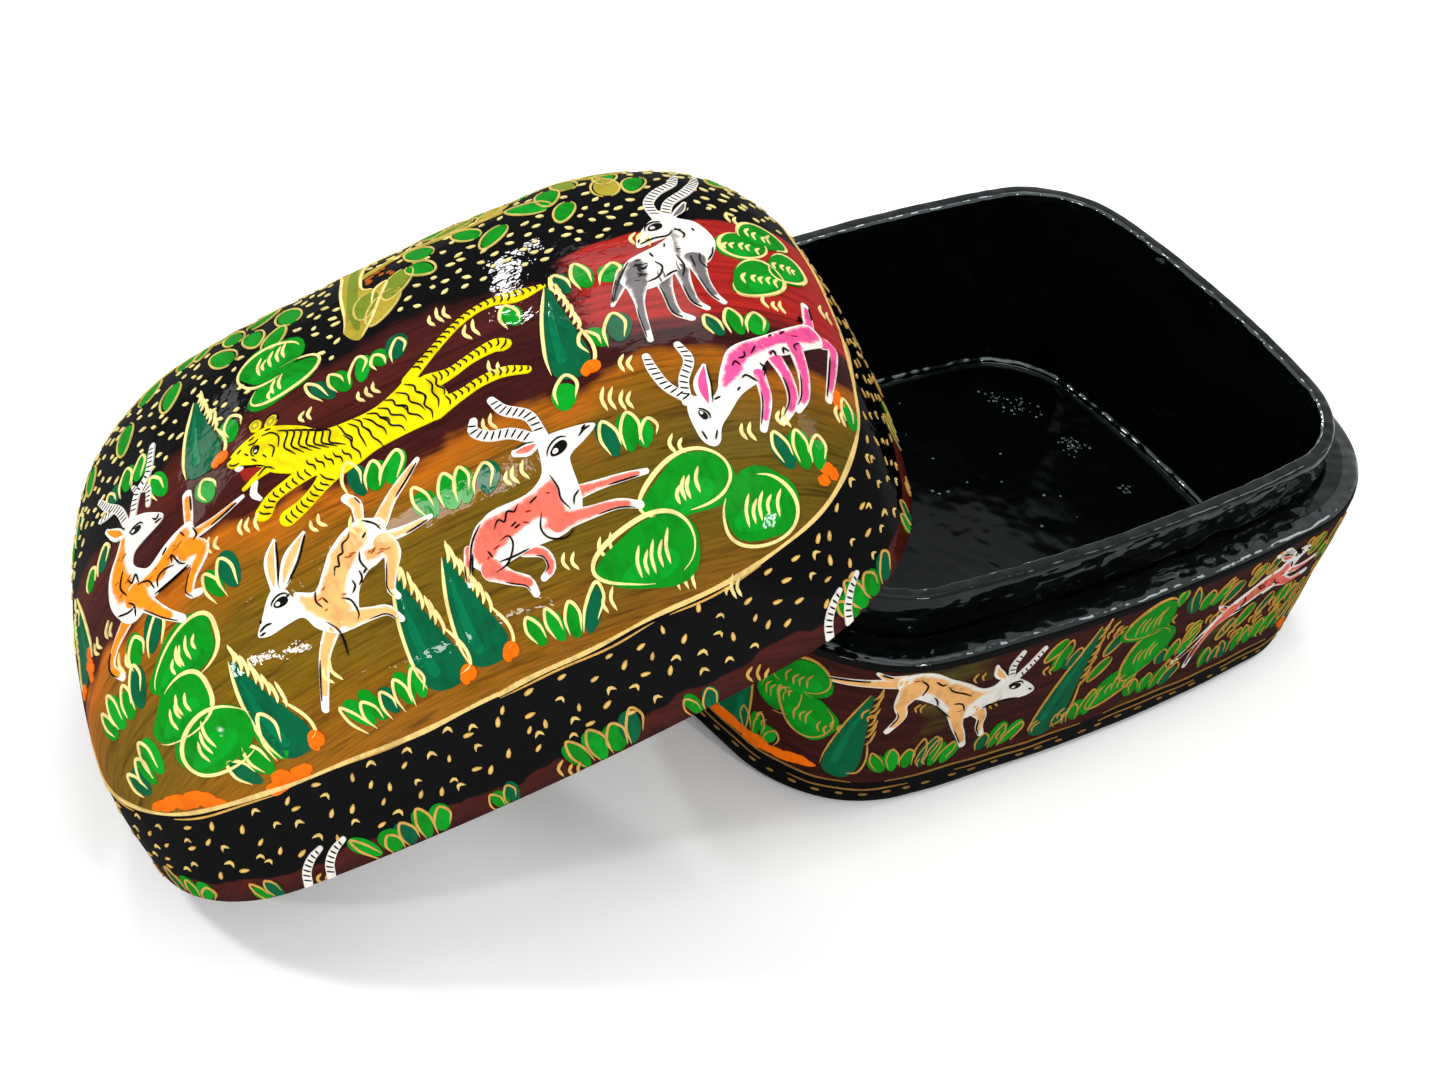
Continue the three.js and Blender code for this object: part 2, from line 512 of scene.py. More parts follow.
def build_lid_skin(outside, inside):
    """The lid: hollow, rim and dome, with its paint coordinates kept on the points."""
    hollow = dome_profile(lid_height - lid_crown, hollow_steps)[::-1]
    dome = dome_profile(lid_height, dome_steps)
    inner_ring = plan_ring(skirt_inset)
    outer_ring = plan_ring(0)
    count = len(outer_ring)
    inner = np.vstack([at_height(inner_ring * share, z) for share, z in hollow])
    runs = ripple(inner, run_wave * 2, hollow_seed) * run_height
    inner[:, 2] += np.where(inner[:, 2] > collar_round, runs, 0)
    crown = [[0, 0, lid_height]]
    roof = [[0, 0, lid_height - lid_crown]]
    outer = np.vstack([at_height(outer_ring * share, z) for share, z in dome] + [crown])
    points = stand_lid(np.vstack([inner, swell_lid(outer), roof]))
    rings = len(hollow) + len(dome)
    faces = ring_faces(rings, count, False)
    lining = (len(hollow) - 1) * count
    face_materials = [1] * lining + [0] * (len(faces) - lining)
    crown_index = rings * count
    top = cap_faces((rings - 1) * count, count, crown_index, False)
    bottom = cap_faces(0, count, crown_index + 1, True)
    face_materials += [0] * len(top) + [1] * len(bottom)
    skin = make_piece("lid_skin", points, faces + top + bottom, [outside, inside],
                      "lid", face_materials)
    paint = np.zeros((len(points), 3))
    paint[len(inner):-1] = np.column_stack([LID_TOP.spots_of(outer), outer[:, 2]])
    layer = skin.data.attributes.new("paint", "FLOAT_VECTOR", "POINT")
    layer.data.foreach_set("vector", paint.ravel())
    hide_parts("lid_shell")


def loft_points(profile):
    """Rings of points from stops of inset and height."""
    rings = [at_height(plan_ring(inset), z) for inset, z in profile]
    return np.vstack(rings), len(rings), len(rings[0])


def build_base_skin(wall, black, lip):
    """The base: underside, foot, painted wall, black ledge and the pocket that holds the strip."""
    wall_top = ledge_height - ledge_round
    foot = quarter_round(foot_inset + foot_round, foot_round, foot_round, -math.pi / 2, 0)
    flare = stretch((foot_inset, foot_round), (0, wall_top), flare_steps)
    edge = quarter_round(ledge_round, wall_top, ledge_round, 0, math.pi / 2, ledge_edge_steps)
    pocket = liner_inset(ledge_height) - glue_gap
    ledge = stretch((ledge_round, ledge_height), (pocket, ledge_height), ledge_steps)
    inside = [(pocket, ledge_height), (liner_inset(floor_height) - glue_gap, board_low[2] - board_gap)]
    profile = foot + flare + edge + ledge + inside
    points, rings, count = loft_points(profile)
    edge_start = len(foot) + len(flare)
    ledge_start = (edge_start + len(edge) - 1) * count
    points[:ledge_start] = swell_base(points[:ledge_start])
    top = points[:, 2] > ledge_height - ledge_depth
    top[(rings - 2) * count:] = False
    points[top, 2] += lacquer_lumps(points, ledge_seed)[top] - run_height
    faces = ring_faces(rings, count, False)
    black_from = (edge_start + painted_stops) * count
    lip_end = (edge_start + len(edge) + 1) * count
    face_materials = [0] * black_from + [2] * (lip_end - black_from) + [1] * (len(faces) - lip_end)
    hub = len(points)
    points = np.vstack([points, [[0, 0, 0], [0, 0, profile[-1][1]]]])
    under = cap_faces(0, count, hub, True)
    bottom = cap_faces((rings - 1) * count, count, hub + 1, False)
    face_materials += [1] * (len(under) + len(bottom))
    skin = make_piece("base_skin", points, faces + under + bottom, [wall, black, lip],
                      "base", face_materials)
    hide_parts("base_shell")


def build_liner_skin(black, edge, inside):
    """The wall strip and collar: runs and beads of thick lacquer on the collar, a smooth inside."""
    foot = liner_low[2]
    shoulder = collar_top - collar_round
    inner = collar_inset + collar_thickness
    foot_inner = (liner_inset(foot) + collar_thickness, foot)
    outer = [(liner_inset(foot), foot), (collar_inset, ledge_height)]
    outer += stretch((collar_inset, ledge_height), (collar_inset, shoulder), collar_steps)
    crest = quarter_round(collar_inset + collar_round, shoulder, collar_round, 0, math.pi / 2, crest_steps)
    crest += quarter_round(inner - collar_round, shoulder, collar_round,
                           math.pi / 2, math.pi, crest_steps)
    wall = stretch((inner, shoulder), (inner, ledge_height), collar_steps) + [(inner, ledge_height)]
    wall += stretch((inner, ledge_height), foot_inner, strip_steps) + [foot_inner]
    points, rings, count = loft_points(outer + crest + wall)
    inside_from = (len(outer) + len(crest) + 1) * count
    lumps = lacquer_lumps(points, collar_seed)
    lumps[inside_from:] *= inside_share
    crest_from = (len(outer) + 1) * count
    out = unit(points * [1, 1, 0])
    seen = (points[:, 2] > ledge_height - strip_depth) | (np.arange(len(points)) > crest_from)
    points[seen] -= (out * (lumps + run_height)[:, None])[seen] * collar_share
    crested = points[:, 2] > shoulder
    points[crested, 2] += (lumps - run_height * 2)[crested]
    faces = ring_faces(rings, count, True)
    edge_from = (len(outer) + len(crest) - edge_stops) * count
    face_materials = [0] * edge_from + [1] * (inside_from - edge_from)
    face_materials += [2] * (len(faces) - inside_from)
    skin = make_piece("liner_skin", points, faces, [black, edge, inside],
                      "base", face_materials)
    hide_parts("base_liner")


def build_floor_skin(board, edge):
    """The floor board, with a bead of lacquer where it meets the wall strip."""
    rim = liner_inset(floor_height)
    inner = rim + collar_thickness
    low = board_low[2]
    bead = quarter_round(inner, floor_height, bead_radius, math.pi / 2, math.pi, bead_steps)
    under_strip = [(rim, low), (rim, floor_height), (inner - bead_margin, floor_height)]
    profile = under_strip + bead
    points, rings, count = loft_points(profile)
    field = plan_ring(inner + bead_radius)
    shares = np.linspace(1, 0, floor_rings, endpoint=False)[1:]
    middle = [at_height(field * share, floor_height) for share in shares]
    points = np.vstack([points] + middle)
    rings += len(middle)
    raised = np.arange(len(points)) >= len(under_strip) * count
    points[raised, 2] += (lacquer_lumps(points, floor_seed) * floor_share)[raised]
    hub = len(points)
    points = np.vstack([points, [[0, 0, low], [0, 0, floor_height]]])
    faces = ring_faces(rings, count, False)
    faces += cap_faces(0, count, hub, True) + cap_faces((rings - 1) * count, count, hub + 1, False)
    bead_end = (len(profile) - 1) * count
    face_materials = [1] * bead_end + [0] * (len(faces) - bead_end)
    skin = make_piece("floor_skin", points, faces, [board, edge], "base", face_materials)
    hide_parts("floor_board")


def drop_dome(x, y, radius):
    """Points of one flat drop of lacquer on the floor board, from its foot ring to its top."""
    turns = np.linspace(0, 2 * math.pi, drop_sides, endpoint=False)
    ring = np.column_stack([np.cos(turns), np.sin(turns)])
    root = floor_height - drop_root
    foot = floor_height - drop_sink
    rings = [at_height(ring * radius + [x, y], root)]
    for slope in np.linspace(0, math.pi / 2, drop_rings, endpoint=False):
        height = foot + math.sin(slope) * radius * drop_rise
        rings.append(at_height(ring * radius * math.cos(slope) + [x, y], height))
    hubs = [[x, y, root], [x, y, foot + radius * drop_rise]]
    return np.vstack(rings + [hubs])


def build_floor_drops(edge):
    """Small drops of lacquer that dried on the floor board, in loose clusters."""
    chance = np.random.default_rng(drops_seed)
    count = drop_rings + 1
    last = (count - 1) * drop_sides
    hub = count * drop_sides
    one = ring_faces(count, drop_sides, False)
    one += cap_faces(0, drop_sides, hub, True) + cap_faces(last, drop_sides, hub + 1, False)
    points, faces = [], []
    for x, y, spread, number in FLOOR_DROPS:
        for _ in range(number):
            aside = chance.normal(0, spread, 2)
            radius = chance.uniform(*drop_radius)
            first = sum(len(part) for part in points)
            points.append(drop_dome(x + aside[0], y + aside[1], radius))
            faces += [[first + corner for corner in face] for face in one]
    make_piece("floor_drops", np.vstack(points), faces, [edge], "base")


# Painting

def smooth_path(points, spacing=edge_grid):
    """A curve through the points, by Catmull-Rom, at even spacing. Extra columns, such as width, follow."""
    points = np.asarray(points, float)
    if len(points) < 3:
        middle = points.mean(0, keepdims=True)
        points = np.vstack([points[:1], middle, points[-1:]])
    padded = np.vstack([2 * points[0] - points[1], points, 2 * points[-1] - points[-2]])
    curve = np.vstack([spline(padded), points[-1:]])
    steps = np.hypot(*np.diff(curve[:, :2], axis=0).T)
    stations = np.concatenate([[0], np.cumsum(steps)])
    count = max(4, int(math.ceil(stations[-1] / spacing)) + 1)
    wanted = np.linspace(0, stations[-1], count)
    return np.column_stack([np.interp(wanted, stations, column) for column in curve.T])


def spline(padded, stops=12):
    """Catmull-Rom stops between neighbouring points, without the points at both ends."""
    t = np.linspace(0, 1, stops, endpoint=False)[:, None]
    parts = []
    for p0, p1, p2, p3 in zip(padded, padded[1:], padded[2:], padded[3:]):
        bend = 2 * p0 - 5 * p1 + 4 * p2 - p3 + t * (3 * (p1 - p2) + p3 - p0)
        parts.append(p1 + t / 2 * (p2 - p0 + t * bend))
    return np.vstack(parts)


def closed_path(points):
    """A smooth closed outline through the points."""
    points = np.asarray(points, float)
    return spline(np.vstack([points[-1:], points, points[:2]]), 5)


def sides_of(path):
    """Unit vectors along a path and to its left."""
    along = unit(np.gradient(path[:, :2], axis=0))
    return along, np.column_stack([-along[:, 1], along[:, 0]])


def inside_outline(spots, outline):
    """Which spots lie within a closed outline, by crossings."""
    x, y = spots.T
    within = np.zeros(len(spots), bool)
    for (x1, y1), (x2, y2) in zip(outline, np.roll(outline, -1, axis=0)):
        if y1 != y2:
            within ^= ((y1 > y) != (y2 > y)) & (x < (x2 - x1) * (y - y1) / (y2 - y1) + x1)
    return within


def gap(spots, loop):
    """Distance of each spot from the nearest point of a loop."""
    return np.sqrt(((spots[:, None] - loop) ** 2).sum(-1)).min(1)


class Canvas:
    """Collects paint laid on a surface; each colour becomes one piece."""

    def __init__(self, name, surface, body, slot):
        self.name = name
        self.surface = surface
        self.body = body
        self.slot = slot
        self.coats = {}
        self.patches = []
        self.strokes = 0

    def lift(self, level):
        """Height of the next stroke of a level, so that no two lie in one another."""
        self.strokes += 1
        return first_coat + level * coat_step + (self.strokes % stroke_turns) * stroke_step

    def add(self, colour, spots, lifts, faces, wash, whole=False):
        """Put faces on a colour's coat, cut off where the surface ends."""
        low, high = self.surface.low, self.surface.high
        spots = np.column_stack([spots[:, 0], np.clip(spots[:, 1], low, high)])
        cut = (spots[:, 1] <= low) | (spots[:, 1] >= high)
        bare = {"spots": [], "lifts": [], "wash": [], "faces": [], "count": 0}
        coat = self.coats.setdefault(colour, bare)
        for face in faces:
            if whole or not all(cut[v] for v in face):
                coat["faces"].append(tuple(v + coat["count"] for v in face))
        coat["spots"].append(spots)
        coat["lifts"].append(lifts)
        coat["wash"].append(wash)
        coat["count"] += len(spots)

    def edge(self, colour, loop, lift, wash):
        """The coat's edge round a closed loop, down into the skin."""
        count = len(loop)
        lifts = np.concatenate([np.full(count, lift), np.full(count, sunk_edge)])
        faces = [(k, k + count, (k + 1) % count + count, (k + 1) % count) for k in range(count)]
        self.add(colour, np.vstack([loop, loop]), lifts, faces, np.full(2 * count, wash), True)

    def fill(self, colour, outline, level):
        """A patch of paint within a closed outline; its wash fades towards the edge."""
        closed = np.vstack([outline, outline[:1]])
        loop = np.vstack([np.linspace(p, q, max(1, int(np.hypot(*(q - p)) / edge_grid)), endpoint=False)
                          for p, q in zip(closed, closed[1:])])
        turn = (loop[:, 0] * np.roll(loop[:, 1], -1) - loop[:, 1] * np.roll(loop[:, 0], -1)).sum()
        if turn < 0:
            loop = loop[::-1]
        low, high = loop.min(0), loop.max(0)
        grid = np.stack(np.meshgrid(np.arange(low[0], high[0], paint_grid),
                                    np.arange(low[1], high[1], paint_grid)), -1).reshape(-1, 2)
        grid = grid[inside_outline(grid, loop) & (gap(grid, loop) > paint_grid / 2)]
        spots = np.vstack([loop, grid])
        ring = [(k, (k + 1) % len(loop)) for k in range(len(loop))]
        result = delaunay_2d_cdt([Vector(p) for p in spots], ring, [], 1, 1e-5)
        spots = np.array([tuple(v) for v in result[0]])
        lift = self.lift(level)
        wash = np.clip(gap(spots, loop) / fade_width, 0, 1)
        self.add(colour, spots, np.full(len(spots), lift), [tuple(face) for face in result[2]], wash)
        self.edge(colour, loop, lift, 0.0)
        self.patches.append((low, high, loop))

    def covered(self, spot, margin):
        """Whether a spot lies on a patch of paint or close to one."""
        for low, high, loop in self.patches:
            near = np.all(spot > low - margin) and np.all(spot < high + margin)
            if near and (inside_outline(spot[None], loop)[0] or gap(spot[None], loop)[0] < margin):
                return True
        return False

    def stroke(self, colour, points, width, level, ends="round", fade=0.0):
        """A brush stroke along a curve. Points may carry their own widths as a third number."""
        points = np.asarray(points, float)
        if points.shape[1] == 2:
            points = np.column_stack([points, np.full(len(points), width)])
        path = smooth_path(points, np.clip(points[:, 2].max() * stop_share, fine_grid, edge_grid))
        half = path[:, 2] / 2
        if ends == "round":
            path, half = self.round_ends(path, half)
        else:
            share = np.linspace(-1, 1, len(path))
            half = half * np.clip(1 + point_share - np.abs(share) ** 3, point_share, 1)
        side = sides_of(path)[1]
        columns = max(3, int(math.ceil(half.max() * 2 / paint_grid)) + 1)
        across = np.linspace(1, -1, columns)
        spots = path[:, None, :2] + side[:, None] * (half[:, None] * across)[..., None]
        lift = self.lift(level)
        lifts = np.broadcast_to(lift + stroke_crown * (1 - across ** 2), spots.shape[:2])
        share = np.linspace(0, 1, len(path))[:, None]
        wash = 1 - fade * across ** 2 * np.clip(share / fade_in, 0, 1)
        wash = wash * np.clip((1 - share * min(1.0, fade * 2)) / fade_out, 0, 1)
        faces = []
        for row in range(len(path) - 1):
            for column in range(columns - 1):
                k = row * columns + column
                faces.append((k, k + 1, k + columns + 1, k + columns))
        self.add(colour, spots.reshape(-1, 2), lifts.ravel(), faces, wash.ravel())
        self.edge(colour, np.vstack([spots[:, -1], spots[::-1, 0]]), lift, 1.0 - fade)

    @staticmethod
    def round_ends(path, half):
        """Add a round cap to both ends of a stroke."""
        angles = np.linspace(math.pi / 2, 0.12, 5)[1:]
        caps = []
        for end, near, radius in ((path[0], path[1], half[0]), (path[-1], path[-2], half[-1])):
            away = end[:2] - near[:2]
            away /= np.linalg.norm(away) + TINY
            spots = end[:2] + np.cos(angles)[:, None] * away * radius
            caps.append((np.column_stack([spots, np.zeros(len(spots))]), np.sin(angles) * radius))
        (head, head_half), (tail, tail_half) = caps
        return np.vstack([head[::-1], path, tail]), np.concatenate([head_half[::-1], half, tail_half])

    def hang(self):
        """Make one piece of each colour."""
        for colour, coat in self.coats.items():
            points = self.surface.lay(np.vstack(coat["spots"]), np.concatenate(coat["lifts"]))
            piece = make_piece(f"{self.name}_{colour}", points, coat["faces"], [paint_material(colour)],
                               self.body)
            layer = piece.data.attributes.new("wash", "FLOAT", "POINT")
            layer.data.foreach_set("value", np.concatenate(coat["wash"]))


class Pen:
    """A brush held at a place on a canvas, with its own scale, turn and mirror about a middle."""

    def __init__(self, canvas, x, y, size=1.0, turn=0.0, mirror=False, middle=(0, 0)):
        self.canvas = canvas
        self.place = np.array([x, y])
        self.middle = np.array(middle)
        self.size = size
        self.mirror = mirror
        angle = math.radians(turn)
        self.turn = np.array([[math.cos(angle), -math.sin(angle)], [math.sin(angle), math.cos(angle)]])

    def move(self, points):
        """Points of a drawing, where the pen puts them."""
        moved = np.array(points, float)
        moved[:, :2] -= self.middle
        moved *= self.size
        if self.mirror:
            moved[:, 0] *= -1
        moved[:, :2] = moved[:, :2] @ self.turn.T + self.place
        return moved

    def fill(self, colour, points, level):
        self.canvas.fill(colour, self.move(points)[:, :2], level)

    def stroke(self, colour, points, width, level, ends="round", fade=0.0):
        self.canvas.stroke(colour, self.move(points), width * self.size, level, ends, fade)


LID_TOP = LidTop()
lid_paint = Canvas("lid_paint", LID_TOP, "lid", "painted_lid")
skirt_paint = Canvas("skirt_paint", LidSkirt(), "lid", "painted_lid")
wall_paint = Canvas("wall_paint", BaseWall(), "base", "painted_base")
hand_seed = 7
hand = random.Random(hand_seed)

# Widths of lines, levels of gold and ink over the skin, and the bare margin that flecks leave round a patch
line_width = 0.52
ink_width = 0.26
LINE_WIDTHS = {"gold": 0.54, "rim_gold": 0.42, "old_gold": 0.44, "wall_gold": 0.34}
gold_level, ink_level = 4, 8
fleck_margin = 0.9


def jitter(amount):
    """A small random shift of the hand."""
    return np.array([hand.uniform(-amount, amount), hand.uniform(-amount, amount)])


def oval(x, y, length, width, turn, start=0.0, end=2 * math.pi, steps=22):
    """Points along an egg-shaped leaf, from one angle to another."""
    t = np.linspace(start, end, steps)
    egg = np.column_stack([length / 2 * np.cos(t), width / 2 * np.sin(t) * (1 + 0.16 * np.cos(t))])
    angle = math.radians(turn)
    c, s = math.cos(angle), math.sin(angle)
    return egg @ np.array([[c, s], [-s, c]]) + [x, y]


def lobe(canvas, x, y, length, width, turn, level=1, gold="gold"):
    """A big leaf: uneven green patch, loose gold outline and a few gold ticks."""
    line = LINE_WIDTHS[gold]
    bulge = hand.uniform(0, 2 * math.pi)
    t = np.linspace(0, 2 * math.pi, 26)
    uneven = 1 + 0.09 * np.sin(2 * t + bulge) + 0.06 * np.sin(3 * t + 2 * bulge) + 0.03 * np.sin(5 * t)
    patch = oval(x, y, length, width, turn, steps=26) - [x, y]
    canvas.fill("leaf", (patch * uneven[:, None] + [x, y])[:-1], level)
    shade = oval(x + jitter(0.8)[0], y - width * 0.16, length * 0.62, width * 0.42, turn)
    canvas.fill("new_leaf", shade[:-1], level + 1)
    shift = jitter(0.8)
    first = hand.uniform(0, 2 * math.pi)
    last = first + 2 * math.pi - hand.uniform(0.4, 1.9)
    rim = oval(x + shift[0], y + shift[1], length - 0.4, width - 0.4, turn, first, last, 26)
    t = np.linspace(first, last, len(rim))
    loose = 1 + 0.08 * np.sin(2 * t + bulge) + 0.045 * np.sin(3 * t + 2 * bulge)
    rim = (rim - [x, y]) * loose[:, None] + [x, y]
    rim = np.column_stack([rim, line * (1.05 + 0.3 * np.sin(t * 1.4 + bulge))])
    canvas.stroke(gold, rim, line, level + 1.5, "point")
    for k in range(hand.choice((3, 4, 5))):
        foot = np.array([x - 2.2 + k * 1.2, y - width * 0.26 + k * 0.2]) + jitter(0.4)
        tip = foot + [0.6, width * hand.uniform(0.28, 0.5)]
        canvas.stroke(gold, [foot, (foot + tip) / 2 + [-0.5, 0.1], tip], line, level + 1.5, "point")


SPRIG_COLOURS = ("leaf", "new_leaf", "leaf", "deep_leaf")


def sprig(canvas, x, y, leaves=3, size=1.0, turn=0.0, gold="gold"):
    """A tuft of small round leaves with looping gold lines drawn loosely over them."""
    pen = Pen(canvas, x, y, size, turn)
    line = LINE_WIDTHS[gold]
    dx, dy = jitter(0.9)
    for k in range(leaves):
        aside = k - (leaves - 1) / 2
        foot = aside * 2.8 + hand.uniform(-0.4, 0.4)
        lean = aside * -13 + hand.uniform(-10, 10)
        height = hand.uniform(4.8, 7.6)
        reach = -height * math.sin(math.radians(lean))
        across = hand.uniform(2.8, 4.4)
        shape = oval(foot + reach / 2 + jitter(0.4)[0], height / 2, height, across, 90 + lean)
        pen.fill(SPRIG_COLOURS[(k + leaves) % 4], shape[:-1], 1 + (k % 2))
        wide = hand.uniform(0.9, 1.25)
        tall = height * hand.uniform(0.85, 1.15)
        loop = [(foot - 1.2 * wide + dx, 0.4 + dy),
                (foot - 1.5 * wide + reach * 0.5 + dx, tall * 0.55 + dy),
                (foot - 0.2 + reach * 0.95 + dx, tall + dy),
                (foot + 1.2 * wide + reach * 0.8 + dx, tall * 0.68 + dy),
                (foot + 0.9 * wide + reach * 0.3 + dx, tall * hand.uniform(0.1, 0.35) + dy)]
        pen.stroke(gold, loop, line, gold_level, "point")


def single_leaf(canvas, x, y, length, turn, gold="gold", colour="leaf"):
    """One pointed leaf in a gold ring."""
    canvas.fill(colour, oval(x, y, length, length * 0.46, turn)[:-1], 1)
    ring = oval(*(np.array([x, y]) + jitter(0.3)), length + 0.5, length * 0.52, turn, 0.2, 6.0)
    canvas.stroke(gold, ring, LINE_WIDTHS[gold] * 0.85, gold_level, "point")


def tall_leaf(canvas, x, y, height=15.0, width=5.6, turn=0.0, mirror=False, gold="gold", bud=True):
    """A dark flame-shaped leaf: a gold line up one side, a gold fringe on the other, an orange bud."""
    pen = Pen(canvas, x, y, 1.0, turn, mirror)
    side = [(-width * 0.46, height * 0.06), (-width * 0.46, height * 0.25), (-width * 0.28, height * 0.62),
            (width * 0.02, height)]
    other = [(width * 0.2, height * 0.74), (width * 0.4, height * 0.42), (width * 0.54, height * 0.16),
             (width * 0.36, 0), (0, -height * 0.03), (-width * 0.32, 0)]
    pen.fill("deep_leaf", smooth_path(np.array(side + other + side[:1]))[:-1], 1)
    vein = [(-width * 0.16, height * 0.16, width * 0.24), (-width * 0.12, height * 0.5, width * 0.18),
            (-width * 0.02, height * 0.8, width * 0.06)]
    pen.stroke("pine", vein, 1.0, 2)
    line = LINE_WIDTHS[gold]
    pen.stroke(gold, [(px - 0.3, py) for px, py in side], line, gold_level, "point")
    low, high = np.array(other[1]), np.array(side[-1])
    for share in np.linspace(0.06, 1.0, 8):
        foot = low + (high - low) * share + jitter(0.2) + [0.4, 0]
        tip = foot + [hand.uniform(0.3, 0.9), hand.uniform(1.8, 2.8)]
        pen.stroke(gold, [foot + [-0.1, -0.9], foot + [0.5, 0.1], tip], line, gold_level, "point")
    hook = [(width * 0.46, height * 0.46), (width * 0.66, height * 0.24), (width * 0.6, height * 0.08),
            (width * 0.3, height * 0.04)]
    pen.stroke(gold, hook, line, gold_level, "point")
    if bud:
        pen.fill("orange", oval(width * 0.46, height * 0.02, 2.9, 2.4, 20)[:-1], 5)
        pen.fill("orange", oval(width * 0.46 - 0.9, height * 0.02 - 0.6, 1.7, 1.5, 80)[:-1], 6)


def ticks(canvas, x, y, count=2, length=3.0, turn=0.0, gold="gold"):
    """A few short gold strokes side by side, for grass."""
    pen = Pen(canvas, x, y, 1.0, turn)
    for k in range(count):
        foot = np.array([k * 1.3 + 0.3, -k * 0.15]) + jitter(0.2)
        tall = length * hand.uniform(0.75, 1.15)
        bend = hand.uniform(-0.65, -0.3)
        pen.stroke(gold, [foot + [0.2, 0], foot + [bend, tall * 0.5], foot + [0.1, tall]],
                   LINE_WIDTHS[gold], gold_level, "point")


def fleck(canvas, x, y, length=1.3, turn=0.0, gold="gold", width=0.58):
    """A short gold dash of the night sky."""
    angle = math.radians(turn)
    reach = np.array([math.cos(angle), math.sin(angle)]) * length / 2
    middle = np.array([x, y])
    canvas.stroke(gold, [middle - reach, middle + jitter(0.12), middle + reach], width, gold_level, "point")


def comma(canvas, x, y, size=1.0, turn=0.0, gold="gold"):
    """A small hooked gold fleck, pressed and pulled away with the brush."""
    pen = Pen(canvas, x, y, size, turn)
    pen.stroke(gold, [(-0.85, -0.5, 0.22), (-0.35, 0.25, 0.52), (0.2, 0.45, 0.62), (0.85, -0.35, 0.2)],
               0.5, gold_level, "point")


def drop(canvas, x, y, size=1.0, turn=0.0):
    """A small gold drop with a lighter middle."""
    pen = Pen(canvas, x, y, size, turn)
    pen.stroke("old_gold", [(-0.5, -0.35, 0.7), (0.1, 0.1, 0.85), (0.7, 0.5, 0.3)], 0.8, gold_level - 1)
    pen.stroke("skirt_gold", [(-0.4, -0.25, 0.4), (0.1, 0.1, 0.45), (0.5, 0.4, 0.2)], 0.4, gold_level)


def fallen_leaves(canvas, x, y, length, turn=0.0):
    """Orange ground strokes, as under the trees at the border."""
    pen = Pen(canvas, x, y, 1.0, turn)
    for k in range(9):
        shift = jitter(0.8)
        start = -length / 2 + k * length / 11
        pen.stroke("orange", [(start + shift[0], shift[1]), (start + length / 3, 0.4 + shift[1])],
                   hand.uniform(1.2, 2.0), 1 + k % 2, "point")


# Beasts, as they stand on the lid or the wall. Limbs, ears and horns are curves of x, y and width.

